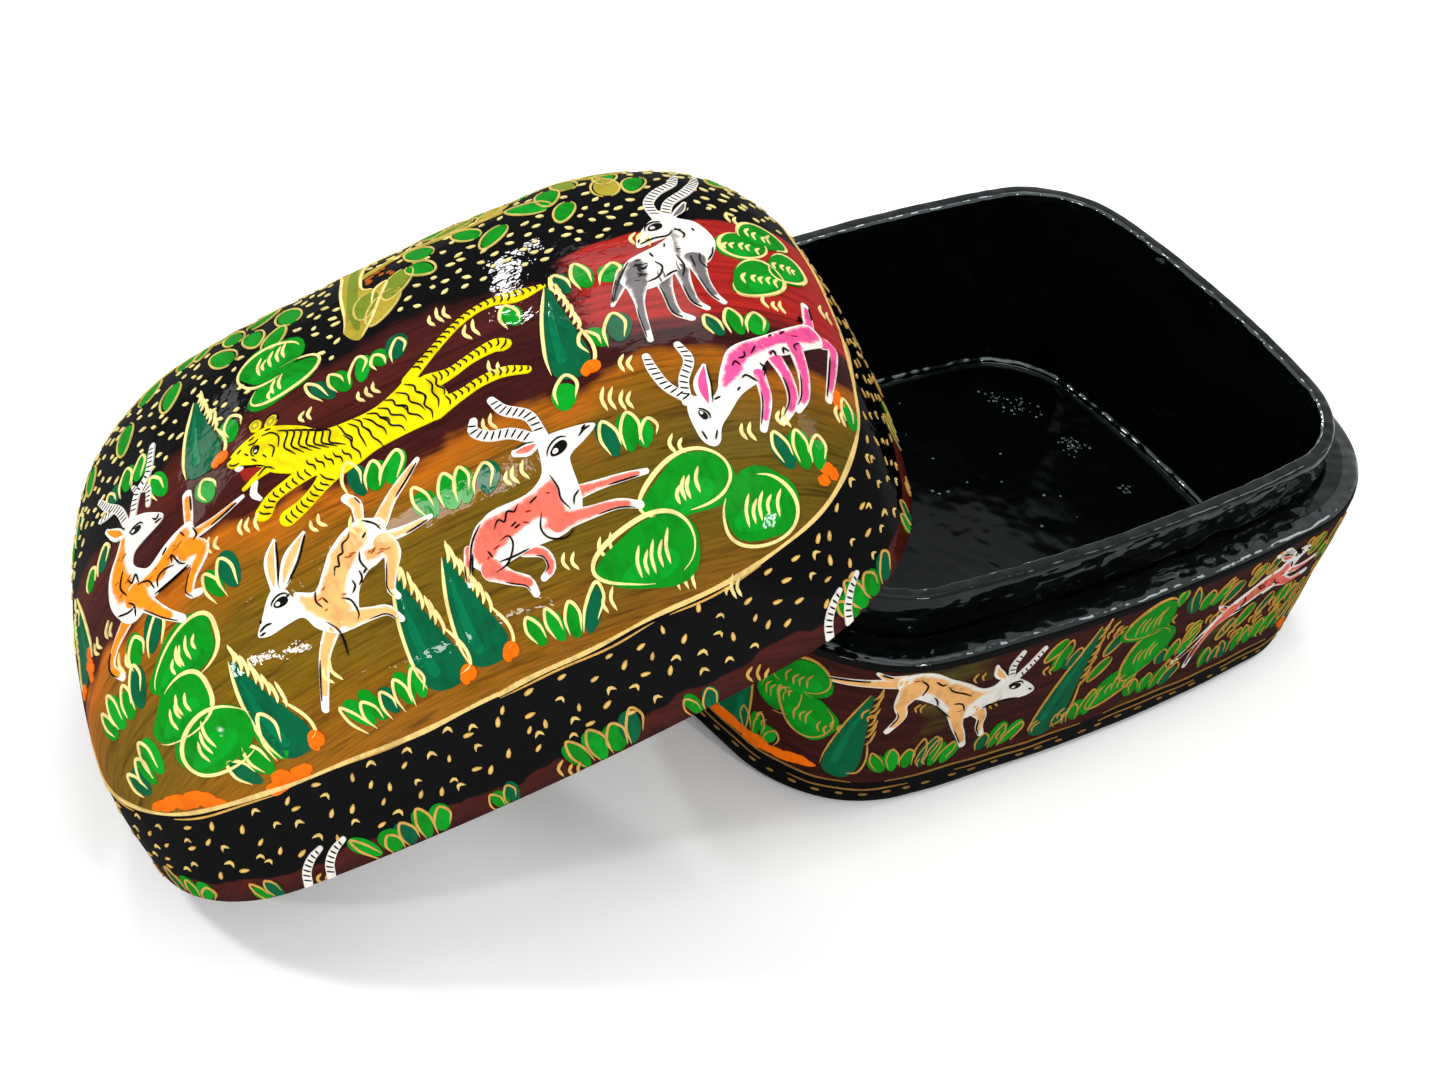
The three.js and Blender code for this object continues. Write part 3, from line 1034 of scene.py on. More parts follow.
BEASTS = {
    "stag": {
        "form": [
            (-36.6, -8.5), (-38, -6.7), (-40.2, -4.4), (-42.1, -3), (-43.9, -1.9), (-45, -4.6),
            (-46.6, -7.1), (-48.9, -10.5), (-49.7, -14.6), (-49.4, -17.8), (-48.2, -21), (-46.6, -23.7),
            (-44.4, -24.6), (-39.8, -23.5), (-33.9, -23.3), (-30.7, -23.6), (-29.7, -21.9),
            (-31.2, -19.9), (-31.4, -17.4), (-31.9, -15.1), (-34.4, -15.1), (-37.1, -15.9),
            (-40.3, -17.3), (-42.3, -15.6), (-43.5, -13.2), (-42.8, -11), (-40.7, -10.4),
            (-38.5, -10.1), (-36.9, -9.6),
        ],
        "coat": [
            [
                (-44.8, -3.6), (-46.8, -7.4), (-48.8, -11), (-49, -15), (-48, -18.6), (-46, -20.2),
                (-44, -19.6), (-43.4, -16.6), (-44.6, -13), (-44.4, -9), (-44.2, -6),
            ],
            [
                (-45, -17.5), (-40, -18.2), (-36.5, -16.4), (-32.6, -15.4), (-31.8, -17.6),
                (-33, -20.4), (-36, -20.8), (-38.5, -22.2), (-41, -21.4), (-44, -21),
            ],
        ],
        "near": [
            [(-44, -20, 4.6), (-42, -24, 2.7), (-39.5, -28, 1.8), (-37, -30.8, 1.3)],
            [
                (-33, -20.4, 4.2), (-31, -22.4, 2.8), (-33.6, -25.6, 1.9), (-34.6, -28, 1.5),
                (-33, -28.8, 1.2),
            ],
        ],
        "far": [
            [(-47, -23.2, 3), (-50.4, -25.4, 1.9), (-51.8, -27.8, 1.6), (-50.3, -30.8, 1.3)],
            [(-31.5, -18.3, 2.2), (-28, -18.3, 1.6), (-23, -17.2, 0.8)],
        ],
        "tail": [(-32.2, -15.4, 1.6), (-32, -12, 1.8), (-31.9, -8.6, 1.7)],
        "ears": [[(-45, -4.5, 1.5), (-46.5, -2.5, 2.4), (-48.6, 0.8, 0.9)]],
        "horns": [
            [(-44.2, -2.4, 1.5), (-45.5, 2.5, 1.5), (-48, 6.5, 1.4), (-49.8, 10.5, 1.1)],
            [(-46.5, 4, 1.3), (-48.4, 4.6, 1.2), (-50, 5.4, 0.9)],
            [(-42.6, -2.4, 1.5), (-41.2, 1.6, 1.5), (-38.4, 4, 1.4), (-37.1, 9.8, 1.1)],
            [(-40.2, 1.8, 1.2), (-38.8, 0.2, 1.2), (-39.2, -3.4, 0.9)],
            [(-41, 2, 1.1), (-41.8, 4, 0.8)],
        ],
        "eye": (-42.2, -6.6, 2.4, -22),
        "ink": [
            [(-45.7, -12.8), (-46.7, -15.6), (-45.6, -18.6)],
            [(-45, -15.4), (-44.2, -17.2), (-43.2, -16.2), (-42.8, -18.6)],
            [(-43, -18.7), (-41, -20), (-40.2, -22.4)],
            [(-39.6, -22.6), (-39.2, -21), (-37.8, -20.6), (-36, -21.2)],
            [(-36.2, -20.6), (-36, -19), (-35, -21.6), (-34, -22.6)],
            [(-40.4, -23.4), (-37, -23.5), (-33.6, -23.2)],
            [(-48.2, -20.6), (-46, -22), (-44.6, -22.2)], [(-45.6, -20.2), (-44.5, -22), (-44.7, -24)],
            [(-38.6, -7.6), (-37.9, -8.6), (-37.2, -8)], [(-36.9, -9.4), (-38.2, -9.3)],
            [(-33.8, -16), (-33.2, -17.4)], [(-36.6, -16.8), (-37.6, -17.6)],
            [(-31.6, -17), (-31.2, -18.6), (-31.9, -19.6)],
        ],
    },
    "hind": {
        "form": [
            (-27.6, -39.3), (-26, -37.6), (-23.3, -34.7), (-21.3, -35.4), (-20.6, -37.2),
            (-18.8, -37.8), (-17.1, -37.6), (-15.4, -35.8), (-13.3, -33.5), (-10.8, -31.8), (-7.9, -31),
            (-6, -31.7), (-4.5, -32.6), (-4.6, -34.9), (-5, -37), (-7.3, -38.3), (-9.2, -38.7),
            (-11.3, -40.3), (-12.5, -42.4), (-13.3, -44.6), (-16.5, -44.8), (-18.3, -43.7),
            (-19.6, -42.4), (-20.6, -40.3), (-22.9, -40.1), (-25.8, -40.3), (-27.4, -39.9),
        ],
        "coat": [
            [
                (-20.4, -36.6), (-17.5, -37.8), (-15.4, -35.8), (-13.3, -33.4), (-10.4, -31.8),
                (-7.2, -31.2), (-7, -35.3), (-9.2, -36), (-11.7, -38.2), (-13.2, -40.6), (-13.3, -44.3),
                (-16.7, -44.6), (-18, -42.6), (-20.2, -39.7),
            ],
            [(-9.4, -35.6), (-7, -35.4), (-5, -36.4), (-5.2, -37.8), (-7.5, -38), (-9.2, -37.6)],
        ],
        "near": [
            [(-14.6, -43.6, 2.8), (-11.2, -44.3, 1.8), (-9, -44.9, 1.5), (-7.7, -46.8, 1)],
            [
                (-5.6, -36.2, 3.4), (-4.9, -37.8, 2.7), (-6, -40, 1.9), (-7.2, -42.5, 1.4),
                (-6.7, -43.8, 1),
            ],
        ],
        "far": [
            [(-17.6, -43.6, 2.4), (-20.4, -46.2, 1.7), (-22.9, -49.5, 1.4), (-25.2, -52.4, 1.1)],
            [(-4.9, -32.8, 2.4), (-2.5, -30.3, 1.8), (0, -28.3, 1.6), (2.9, -26, 0.8)],
            # This far hind leg is the hind's own, but its white is partly painted reflection of glints
            # along it.
            [(-5, -35.4, 1.8), (-1.7, -35.7, 1.4), (2.1, -35.4, 0.7)],
        ],
        "tail": [(-7.7, -31.2, 1.4), (-7.4, -28.6, 1.8), (-8.5, -26.8, 1.5)],
        "ears": [
            [(-22.6, -34.6, 1.3), (-21.7, -30.6, 2.1), (-20.3, -27.8, 0.6)],
            [(-21.2, -34.6, 1.4), (-18.8, -31.6, 2.5), (-15.9, -28.9, 0.6)],
        ],
        "horns": [],
        "eye": (-22.6, -36.9, 2.3, 5),
        "ink": [
            [
                (-14, -37.2), (-13.4, -36), (-12.8, -36.2), (-12.4, -34.8), (-11.6, -34.6),
                (-11.2, -33.4), (-10.2, -33), (-9.6, -32.2),
            ],
            [(-17.4, -37.8), (-17.9, -39.2), (-17.4, -40.4)], [(-16.8, -39.2), (-16.4, -40.2)],
            [(-14.4, -40.4), (-13.2, -41.4), (-13, -43.4), (-13.6, -44.2)],
            [(-17.8, -42.4), (-16.8, -44.2), (-16.9, -46), (-17.4, -47.8)],
            [(-9.3, -35.6), (-9.7, -37), (-9.2, -38.6)], [(-7.4, -31.4), (-5.8, -32.8), (-5.2, -34.2)],
            [(-12.6, -40.6), (-11.8, -39.8), (-11.9, -38.8)],
            [(-11.2, -40), (-10.4, -39.2), (-10.4, -38)], [(-10, -38.8), (-9.2, -38.2)],
            [(-27.2, -39.2), (-26, -38.8), (-25, -38.9)], [(-27.4, -39.7), (-26.4, -39.6)],
            [(-26.6, -38.2), (-26.2, -37.8)], [(-21.6, -36.6), (-20.9, -36.4)],
            [(-8.2, -34), (-7.4, -33.4)],
        ],
    },
    "antelope": {
        "form": [
            (28.2, -32.1), (26.3, -31.6), (21.6, -31.2), (19.8, -31.9), (19.5, -34.5), (18.7, -36.7),
            (15.9, -38.2), (10.7, -38.4), (8.5, -39.3), (6.3, -41), (5, -43.6), (5.6, -45.2),
            (7.2, -46.2), (10.3, -46), (14.6, -45.4), (19.4, -45.2), (22.4, -43.6), (23.4, -41.5),
            (23.5, -39.7), (23.4, -36.7), (23.8, -35.2), (26.3, -33.9), (28, -32.8),
        ],
        "coat": [
            [
                (19.8, -32.3), (20.4, -34.5), (20.7, -37.1), (21, -42.3), (19.4, -44.8), (16.3, -43.6),
                (16.4, -42.2), (10.9, -43.9), (7.4, -45.4), (5.2, -44.4), (6.4, -41), (9, -39),
                (15.9, -38.3), (19.2, -36.7),
            ],
        ],
        "near": [
            [(19, -43.4, 3), (23.7, -43.7, 1.8), (28.1, -43.9, 1.4), (31.2, -45, 1)],
            [(7.6, -46, 3.4), (9.8, -48, 2.1), (12, -49.4, 1.7), (12.5, -51.2, 1.2)],
        ],
        "far": [
            [(23, -40.6, 2), (26.3, -40.6, 1.4), (29.8, -40.8, 1.2), (33.2, -41.1, 0.8)],
            [(13, -45.2, 1.9), (15.7, -46.6, 1.5), (16, -48.7, 1.4), (14.4, -49.7, 1)],
        ],
        "tail": [(5.4, -42.3, 1.4), (4.2, -45, 1.2), (3.6, -46.8, 0.6)],
        "ears": [[(19.6, -31.9, 1), (18.2, -32.1, 2), (16.4, -31.9, 1.1)]],
        "horns": [
            [
                (19.6, -31, 1.7), (16.8, -28.7, 1.7), (13.7, -27.6, 1.7), (11.8, -25.8, 1.6),
                (12.2, -24.1, 1.2),
            ],
            [(20.8, -31, 1.7), (19.8, -27.1, 1.7), (16.8, -24.5, 1.7), (15.5, -21.9, 1.2)],
        ],
        "eye": (22.4, -33.8, 2.9, 24),
        "ink": [
            [(20, -36.8), (20.6, -39), (20.5, -40.6), (21.4, -42.4)],
            [(22, -42), (22.4, -41), (23.4, -40.3)],
            [(17.2, -41.4), (16.4, -43.4), (17.2, -45), (19.4, -45.7), (21, -45)],
            [(10.2, -42.8), (11.6, -42.6), (11.8, -44), (10.2, -46), (8, -46.6)],
            [(9, -45.4), (11, -45.5), (14, -45.3)],
            [(10, -41), (11, -40), (11.8, -40.6), (12.6, -39.4), (13.6, -39.8), (14.4, -39)],
            [(16, -39.6), (17.4, -39)], [(12.4, -41.6), (13.4, -41.2)], [(12.8, -42), (13.8, -41.7)],
            [(8.4, -39.5), (6.4, -41.4), (5.2, -43.6), (4.2, -45.6)], [(5.8, -43), (4.6, -45.6)],
            [(8, -43.4), (8.4, -44.6)], [(25.6, -33.2), (26.6, -32.5), (27.6, -32.3)],
            [(26.2, -32.4), (27, -31.9)],
        ],
    },
    "oryx": {
        "form": [
            (41.7, 5.1), (42.8, 8.2), (44.7, 11.6), (47, 13), (49.8, 12.3), (51.6, 11.6), (53, 9.1),
            (53.6, 6), (52.8, 2.3), (51, -1), (47, -2.8), (44.5, -5.4), (42, -7.3), (39.2, -7.3),
            (37.8, -4.6), (38.8, -1.2), (39.6, 0.6), (41.4, 2.1), (44.5, 4.2), (46.6, 6.6), (45, 5.8),
            (42.3, 4.2),
        ],
        "coat": [
            [
                (39.4, 0.2), (41.6, 1.6), (42.6, -0.6), (42.4, -4), (41.2, -6.6), (39.4, -6.8),
                (38.2, -4.6),
            ],
            [(46.8, 8.6), (48.2, 10.6), (48.8, 7), (48.2, 2.6), (47.4, -1.4), (46.4, 1), (46.6, 5)],
        ],
        "near": [
            [(40, -5.6, 3.4), (39.6, -10.3, 1.6), (39.4, -14, 1.3), (39.4, -19.8, 0.9)],
            [(49.6, 0.4, 3.4), (49.8, -5.3, 1.8), (50.4, -9.6, 1.4), (51.5, -11.9, 1)],
        ],
        "far": [
            [(43.9, -4, 3.2), (43.9, -9, 1.8), (44.2, -14, 1.5), (46, -15.9, 1.2)],
            [(47, -1.5, 2.8), (47, -6.5, 1.8), (47.3, -11.5, 1.4), (48.7, -13.5, 1.1)],
        ],
        "tail": [(39, -1.5, 2.4), (37.4, -5.9, 1.8), (35.8, -10, 0.6)],
        "ears": [[(48.4, 12.8, 0.9), (49.8, 15, 1.6), (50.8, 17.6, 0.7)]],
        "horns": [
            [(46, 12.8, 1.6), (45.4, 17.3, 1.6), (47, 21, 1.6), (49.8, 24.8, 1.5), (50.9, 29.4, 1)],
            [(47.3, 13, 1.6), (48.4, 17.3, 1.6), (51.4, 21.6, 1.6), (53.3, 26, 1.5), (54, 30, 1)],
        ],
        "eye": (45.2, 9.6, 2.8, 42),
        "ink": [
            [(42.4, 4.9), (44.6, 6.3), (46.6, 6.9), (47.6, 8.4)], [(48, 9.2), (49.2, 7.6), (48.8, 6.2)],
            [(43.6, -0.4), (44.4, -2), (43.4, -4.6), (41.6, -5.8)],
            [(40.6, -0.4), (41.6, -2), (42.4, -1.2)], [(40.8, -1.6), (41.2, -2.8)],
            [(46.4, -3.2), (45.4, -3.8), (44.4, -4.8)], [(47, 1.2), (47.6, -2), (46.8, -5)],
            [(50.6, 2), (50.2, -0.6), (51, -2.6)], [(49, 1), (49.2, -2.4)], [(45.8, 4.6), (45.6, 3.6)],
            [(50.6, 9.4), (50.9, 8.6)], [(42.4, 6.2), (42.1, 5.4)], [(43.4, 5.4), (43.8, 6.2)],
            [(39.8, 0.4), (38.6, -2.2), (37, -6), (36, -9.4)], [(43.2, 2.2), (43.6, 1)],
            [(52.9, 4), (52.4, 1.8), (51.4, -0.2)],
        ],
    },
    "grazer": {
        "form": [
            (43.3, -40), (41.9, -38.4), (41.3, -34), (42.6, -32), (45.4, -32.4), (47.2, -29.2),
            (48, -26.6), (50.1, -23.1), (55.8, -19.6), (60.8, -15.9), (64.5, -13.2), (66.4, -14.6),
            (66.3, -17.4), (63.3, -20), (58.9, -23.2), (55.8, -24.6), (54, -27), (52.6, -30),
            (49.5, -32.5), (47, -35.5), (45.4, -37.4), (44.6, -39.6),
        ],
        "coat": [
            [
                (47.4, -31.6), (46.6, -30.6), (48, -26.6), (50.1, -23.1), (55.8, -19.6), (60.8, -15.8),
                (64.5, -13), (66.5, -14.6), (66, -17.2), (62.6, -19.4), (58.2, -21.4), (55, -24),
                (52.4, -26), (50, -29.6),
            ],
        ],
        "near": [
            [(53, -28.6, 2), (52.9, -33.4, 1.7), (51.3, -38.3, 1.1)],
            [(60.4, -20.6, 2.8), (60.3, -27.1, 2), (59.2, -32.1, 1.6), (57.5, -34.8, 1.1)],
        ],
        "far": [
            [(56, -23.6, 2.8), (57.3, -29, 2.1), (57, -33.4, 1.7), (54.7, -37, 1.1)],
            [(65.8, -16.6, 3), (68.8, -15.6, 2.2), (67, -22.1, 1.9), (63.8, -31.2, 1.2)],
        ],
        "tail": [(64.8, -13.4, 2), (65.4, -10.4, 1.9), (65.9, -6.4, 1.4)],
        "ears": [[(44.4, -33.6, 1.4), (44.4, -30.2, 2.6), (45.4, -26.8, 0.7)]],
        "horns": [
            [(42.4, -32.8, 1.5), (39.5, -29.6, 1.5), (38.3, -25.9, 1.5), (38, -23.2, 1.1)],
            [(41.6, -32.6, 1.5), (42, -29, 1.5), (43.6, -25.3, 1.5), (42.8, -21.8, 1.1)],
        ],
        "eye": (43.2, -35.2, 1.7, -60),
        "ink": [
            [(50.6, -25.6), (51.6, -25.2), (51.8, -24)], [(52.8, -24.4), (53.8, -22.6)],
            [(49.4, -27.2), (50, -26.2), (50.6, -27)], [(55.6, -24.2), (56.4, -23.2), (56.6, -24.4)],
            [(58, -23.4), (58.2, -22), (59, -22.6)], [(60.4, -22), (60.2, -20.8), (61.4, -19.6)],
            [(53.6, -26.4), (54.2, -27.6), (53.6, -29)], [(52.4, -30.2), (51, -29), (50.2, -29.6)],
            [(49, -31.8), (49.6, -31.2)], [(42.8, -39), (42.4, -37.6)], [(44, -39.2), (44.6, -37.8)],
            [(63, -12.6), (64, -11.8)], [(63.8, -12.8), (63.4, -11.4)], [(58.4, -18.6), (59.4, -17.6)],
            [(45.4, -33), (46.4, -32.6)], [(56.4, -19.8), (57, -19.2)],
        ],
    },
    "runner": {
        "form": [
            (-19.9, 20.8), (-21, 22.6), (-24.4, 25.4), (-26.4, 26.4), (-27.6, 27.4), (-29.2, 25.4),
            (-31.6, 25.6), (-34.5, 27.6), (-38.5, 30), (-42, 32.4), (-45, 33), (-48, 32), (-47.8, 29.6),
            (-46, 27.4), (-43.4, 26.4), (-40.2, 24.4), (-38.4, 22.6), (-36, 20), (-33, 18.8),
            (-30.6, 19.6), (-28.6, 20.9), (-24, 20.2), (-21.4, 20),
        ],
        "coat": [
            [
                (-26.8, 26.4), (-29.2, 25.2), (-31.6, 25.4), (-34.5, 27.4), (-38.5, 29.8), (-42, 32.2),
                (-45.6, 32.6), (-46.6, 30.6), (-44, 28.6), (-40.6, 26), (-37.6, 22.6), (-35.6, 20.4),
                (-33.4, 21), (-31, 23.4), (-28.4, 24),
            ],
        ],
        "near": [
            [(-35, 21.6, 4), (-33.8, 17.6, 2.2), (-32, 14.2, 1.7), (-30.6, 11.2, 1.2)],
            [(-45.4, 29, 4.6), (-46.4, 25.4, 2.4), (-45.6, 22.4, 1.7), (-47.2, 18.8, 1.1)],
        ],
        "far": [
            [(-31, 20.4, 3), (-29, 17.6, 1.9), (-28.6, 15, 1.5), (-27.4, 12.6, 1.1)],
            [(-47, 31, 2.8), (-51.6, 30.2, 1.8), (-56, 29.4, 1.4), (-60.5, 28.8, 0.8)],
        ],
        "tail": [(-47, 32, 1.4), (-49.4, 31.6, 1.6), (-51.6, 32.6, 0.7)],
        "ears": [[(-27.8, 27, 1.2), (-29.4, 28.6, 1.9), (-30.4, 30.4, 0.7)]],
        "horns": [
            [(-26.4, 26.6, 1.2), (-27, 29.4, 1.2), (-26, 32.2, 0.9)],
            [(-25.2, 26, 1.2), (-23.4, 28.4, 1.2), (-21.6, 31.6, 0.9)],
        ],
        "eye": (-24.8, 23.8, 2.3, -12),
        "ink": [
            [(-39, 28.6), (-37.6, 27), (-35, 25.6), (-33.4, 24.6)],
            [(-41, 26.6), (-40.2, 25.6), (-39.6, 24.2)], [(-44.6, 31.6), (-43, 29.8), (-43.4, 27.6)],
            [(-36.4, 23.6), (-34.6, 23), (-33.6, 21)], [(-40, 24.3), (-38.2, 22.4), (-36.2, 20.4)],
            [(-29.8, 20.4), (-26.4, 20.8), (-23, 20.2)], [(-21.4, 21.8), (-20.6, 21.4)],
            [(-41.8, 30.6), (-40.4, 29.4), (-39.6, 29.4)],
        ],
    },
    "kid": {
        "form": [
            (37.4, 31), (35.6, 30.8), (33.6, 29.6), (32, 27.8), (28.6, 27.2), (25, 25.4), (22.6, 24),
            (21, 21.8), (22.2, 20), (25.4, 20.6), (29, 22), (32.4, 23), (34.8, 24.2), (35.8, 26.8),
            (36.6, 28.6), (38, 29.8),
        ],
        "coat": [
            [
                (33.4, 29), (32, 27.6), (28.6, 27), (25, 25.2), (22.8, 23.8), (22.4, 22), (25.4, 21.8),
                (29, 22.8), (32.4, 23.8), (34.4, 25), (35, 27.4),
            ],
        ],
        "near": [
            [(22.6, 22, 3.4), (19.6, 19, 1.8), (17.6, 15, 1.4), (16.8, 10.8, 1)],
            [(33.6, 24, 2.6), (36.8, 22.6, 1.5), (40.4, 23.4, 0.9)],
        ],
        "far": [
            [(21.8, 21.6, 2.6), (18.4, 18.2, 1.6), (15.6, 15.4, 1.3), (12.8, 13.4, 0.9)],
            [(34.6, 25.6, 2), (38, 25.4, 1.3), (41.6, 26.6, 0.8)],
        ],
        "tail": [(21.6, 22.6, 1.2), (20, 23.4, 1.3), (18.8, 24.6, 0.6)],
        "ears": [[(33.6, 29.8, 1), (31.8, 30.4, 1.6), (30.2, 31.4, 0.6)]],
        "horns": [[(33.8, 30.4, 1.1), (31.6, 32.2, 1.1), (29, 32, 0.8)]],
        "eye": (35.2, 29.9, 1.5, 10),
        "ink": [
            [(23.4, 21), (26, 21.4), (29.6, 22.8)], [(24.6, 24.4), (25.2, 23), (24.6, 21.8)],
            [(31.6, 25.4), (32.2, 24.2), (33.6, 23.6)], [(27, 25.6), (28.4, 25.6)],
            [(28, 24.6), (29.4, 24.8)], [(34.4, 28.4), (35, 26.8)], [(37.2, 30.2), (37.9, 30.2)],
        ],
    },
}


def ink(brush, points, share=1.0):
    """A thin dark line with pointed ends, by a canvas or a pen."""
    brush.stroke("ink", points, ink_width * share, ink_level, "point")


def limb(pen, curve, coat, level, coat_level):
    """A white limb; coat colour over it fades at its sides and foot, and an ink line runs behind."""
    pen.stroke("white", curve, 1.0, level)
    path = smooth_path(np.array(curve, float), 0.6)
    over = path[:max(4, int(len(path) * 0.9))].copy()
    over[:, 2] = np.maximum(over[:, 2] - 0.2, 0.4)
    pen.stroke(coat, over[::2], 1.0, coat_level, fade=0.75)
    side = sides_of(path)[1]
    behind = path[:, :2] - side * path[:, 2:] * 0.36
    first = int(len(path) * hand.uniform(0.3, 0.5))
    ink(pen, behind[first:-1][::2], 0.8)


def horn(pen, curve):
    """A white horn with dark rings."""
    pen.stroke("white", curve, 1.0, 6)
    path = smooth_path(np.array(curve, float), 1.05)
    along, side = sides_of(path)
    for spot, cross, forward in list(zip(path, side, along))[1:-1]:
        middle = spot[:2]
        reach = spot[2] * 0.44
        ink(pen, [middle - cross * reach, middle + forward * 0.15, middle + cross * reach + forward * 0.35])


def beast(pen, kind, coat, shade):
    """An antelope or deer: white form, a wash of coat colour, then ink lines, eye, ears and horns."""
    parts = BEASTS[kind]
    for curve in parts["far"] + [parts["tail"]]:
        limb(pen, curve, coat, 1, 2)
    pen.fill("white", closed_path(parts["form"]), 3)
    for curve in parts["near"]:
        pen.stroke("white", curve, 1.0, 3)
    for patch in parts["coat"]:
        pen.fill(coat, closed_path(patch), 4)
        hairs(pen, patch, shade)
    for curve in parts["near"]:
        limb(pen, curve, coat, 3, 5)
    for curve in parts["ears"]:
        ear(pen, curve, coat)
    for curve in parts["horns"]:
        horn(pen, curve)
    for line in parts["ink"]:
        ink(pen, line)
    eye(pen, *parts["eye"])


# Hairs tried on each patch of coat, and the bare margin at its edge
hair_tries, hair_margin = 26, 0.8


def hairs(pen, patch, shade):
    """Short hairs of a darker colour over a patch of coat."""
    outline = closed_path(patch)
    low, high = outline.min(0), outline.max(0)
    for _ in range(hair_tries):
        spot = np.array([hand.uniform(low[0], high[0]), hand.uniform(low[1], high[1])])
        lean = np.array([hand.uniform(0.5, 1.2), hand.uniform(-0.5, 0.5)])
        if inside_outline(spot[None], outline)[0] and gap(spot[None], outline)[0] > hair_margin:
            pen.stroke(shade, [spot, spot + lean], ink_width * 0.9, 6, "point")


def ear(pen, curve, coat):
    """A white ear, coat colour inside it and an ink line behind."""
    pen.stroke("white", curve, 1.0, 6)
    inner = np.array(curve) * [1, 1, 0.5]
    pen.stroke(coat, inner, 1.0, 7, "point")
    path = smooth_path(np.array(curve, float), 0.5)
    ink(pen, path[:, :2] - sides_of(path)[1] * path[:, 2:] * 0.46, 0.8)


def eye(pen, x, y, length, turn):
    """A long dark eye with a white corner and a brow line."""
    pen.fill("ink", oval(x, y, length, length * 0.55, turn)[:-1], ink_level)
    angle = math.radians(turn)
    forward = np.array([math.cos(angle), math.sin(angle)])
    corner = np.array([x, y]) - forward * length * 0.2
    pen.fill("white", oval(*corner, length * 0.32, length * 0.24, turn)[:-1], ink_level + 1)
    ink(pen, oval(x, y, length * 1.35, length * 0.95, turn, 0.3, 2.9), 0.8)


# The tiger on the lid; limbs, tail, body, jaw and beard are curves of x, y and width
TIGER = {
    "form": [
        (-24.4, -8.2), (-23, -6.6), (-20.4, -5.6), (-17.6, -5.4), (-15.4, -6.8), (-12, -9.6),
        (-9, -12.6), (-5, -13.4), (-1, -13.4), (2.5, -12), (5.2, -10.4), (7.4, -12.6), (9.6, -15.6),
        (9.8, -18.4), (8.2, -20.6), (3, -20.8), (-2, -21.1), (-5, -22), (-8.4, -22.6), (-11.6, -20.6),
        (-14, -18.8), (-17.4, -16.2), (-18.6, -14.4), (-19.8, -13), (-22, -11.2), (-24, -9.8),
    ],
    "limbs": [
        [(-10.6, -18.4, 4), (-15, -19.6, 2.5), (-18.5, -20.6, 2.3), (-20.4, -22.4, 2.9)],
        [(-8.6, -20.6, 4.4), (-11.5, -22.8, 2.6), (-14.5, -24.5, 2.4), (-17.2, -25.3, 2.8)],
        [(7.4, -13.4, 3.8), (11, -13.4, 2.3), (14.5, -12.2, 2.1), (18, -11.4, 2.8), (19.4, -12, 2.5)],
        [(7.6, -19, 3.8), (11.5, -18.4, 2.1), (15, -17.6, 1.9), (18.5, -17.6, 2), (21.6, -18.9, 1.4)],
    ],
    "tail": [
        (5, -10.9, 2.2), (9, -7.3, 1.8), (12.5, -4, 1.7), (16, -1.6, 1.7), (19.5, -0.7, 2),
        (23, -1.2, 3), (27, -0.5, 1),
    ],
    "body": [(-6.4, -17.4, 8.4), (-3, -17.6, 8.0), (0, -17.2, 7.4), (5, -16, 8.8), (8.4, -16.4, 8.4)],
    "jaw": [(-17.8, -14.6, 1.8), (-20, -15, 1.3), (-22.4, -16, 0.8)],
    "mouth": [(-19, -13.6), (-22.4, -11.6), (-22, -14.6), (-20, -14.6)],
    "teeth": (-22.6, -11.2, 1.6, 0.9, -30),
    "beard": [(-20.6, -16, 1.0), (-21.2, -18, 1.2), (-20.4, -19.6, 0.7)],
    "ears": [(-19, -3.6, 100), (-16.4, -4.8, 60)],
    "eye": (-19.4, -9.4, 1.9, 78),
    "face": [
        [(-24.2, -8.8), (-23.4, -9.8), (-22.4, -10)], [(-24.3, -8), (-23.6, -7.6)],
        [(-22.4, -10.8), (-21, -12), (-19.6, -13), (-18.4, -14.2)],
        [(-19.9, -15.2), (-18.4, -14.4), (-17.2, -15.6)],
        [(-18.2, -7), (-16.6, -7.6), (-15.6, -9.4), (-16, -11.6)],
        [(-17.4, -9.8), (-16.6, -11.2), (-17.2, -13)], [(-20.6, -7.2), (-19.6, -7.6), (-18.8, -7.2)],
        [(-20.4, -10.8), (-19.6, -12)], [(-21.4, -8.6), (-20.8, -9.6)], [(-18.6, -11.2), (-18, -12.4)],
        [(-22.6, -7.6), (-21.8, -7.2)], [(-20.4, -6.4), (-19.4, -6.2)], [(-17.6, -6.2), (-16.6, -6.6)],
    ],
}


def tiger(canvas):
    """A yellow tiger at full stretch, running to the left."""
    curves = TIGER["limbs"] + [TIGER["tail"]]
    for curve in curves:
        canvas.stroke("yellow", curve, 1.0, 3)
    canvas.fill("yellow", closed_path(TIGER["form"]), 4)
    tiger_head(canvas)
    tiger_ruff(canvas)
    stripe_body(canvas, TIGER["body"])
    for curve in curves:
        band_limb(canvas, curve)


def tiger_head(canvas):
    """Jaw, open mouth, teeth, beard, ears, eye and the lines of the face."""
    canvas.stroke("yellow", TIGER["jaw"], 1.0, 3)
    canvas.fill("crimson", closed_path(TIGER["mouth"]), 2)
    canvas.fill("white", oval(*TIGER["teeth"])[:-1], 6)
    canvas.stroke("white", TIGER["beard"], 1.0, 2)
    for x, y, turn in TIGER["ears"]:
        canvas.fill("yellow", oval(x, y, 2.9, 2.2, turn)[:-1], 4)
        canvas.stroke("olive_yellow", oval(x, y, 1.5, 1.1, turn)[:-1], ink_width * 1.6, 6)
        ink(canvas, oval(x, y, 2.8, 2.1, turn, -1.6, 2.0), 0.8)
    eye(Pen(canvas, 0, 0), *TIGER["eye"])
    for line in TIGER["face"]:
        ink(canvas, line, 0.9)


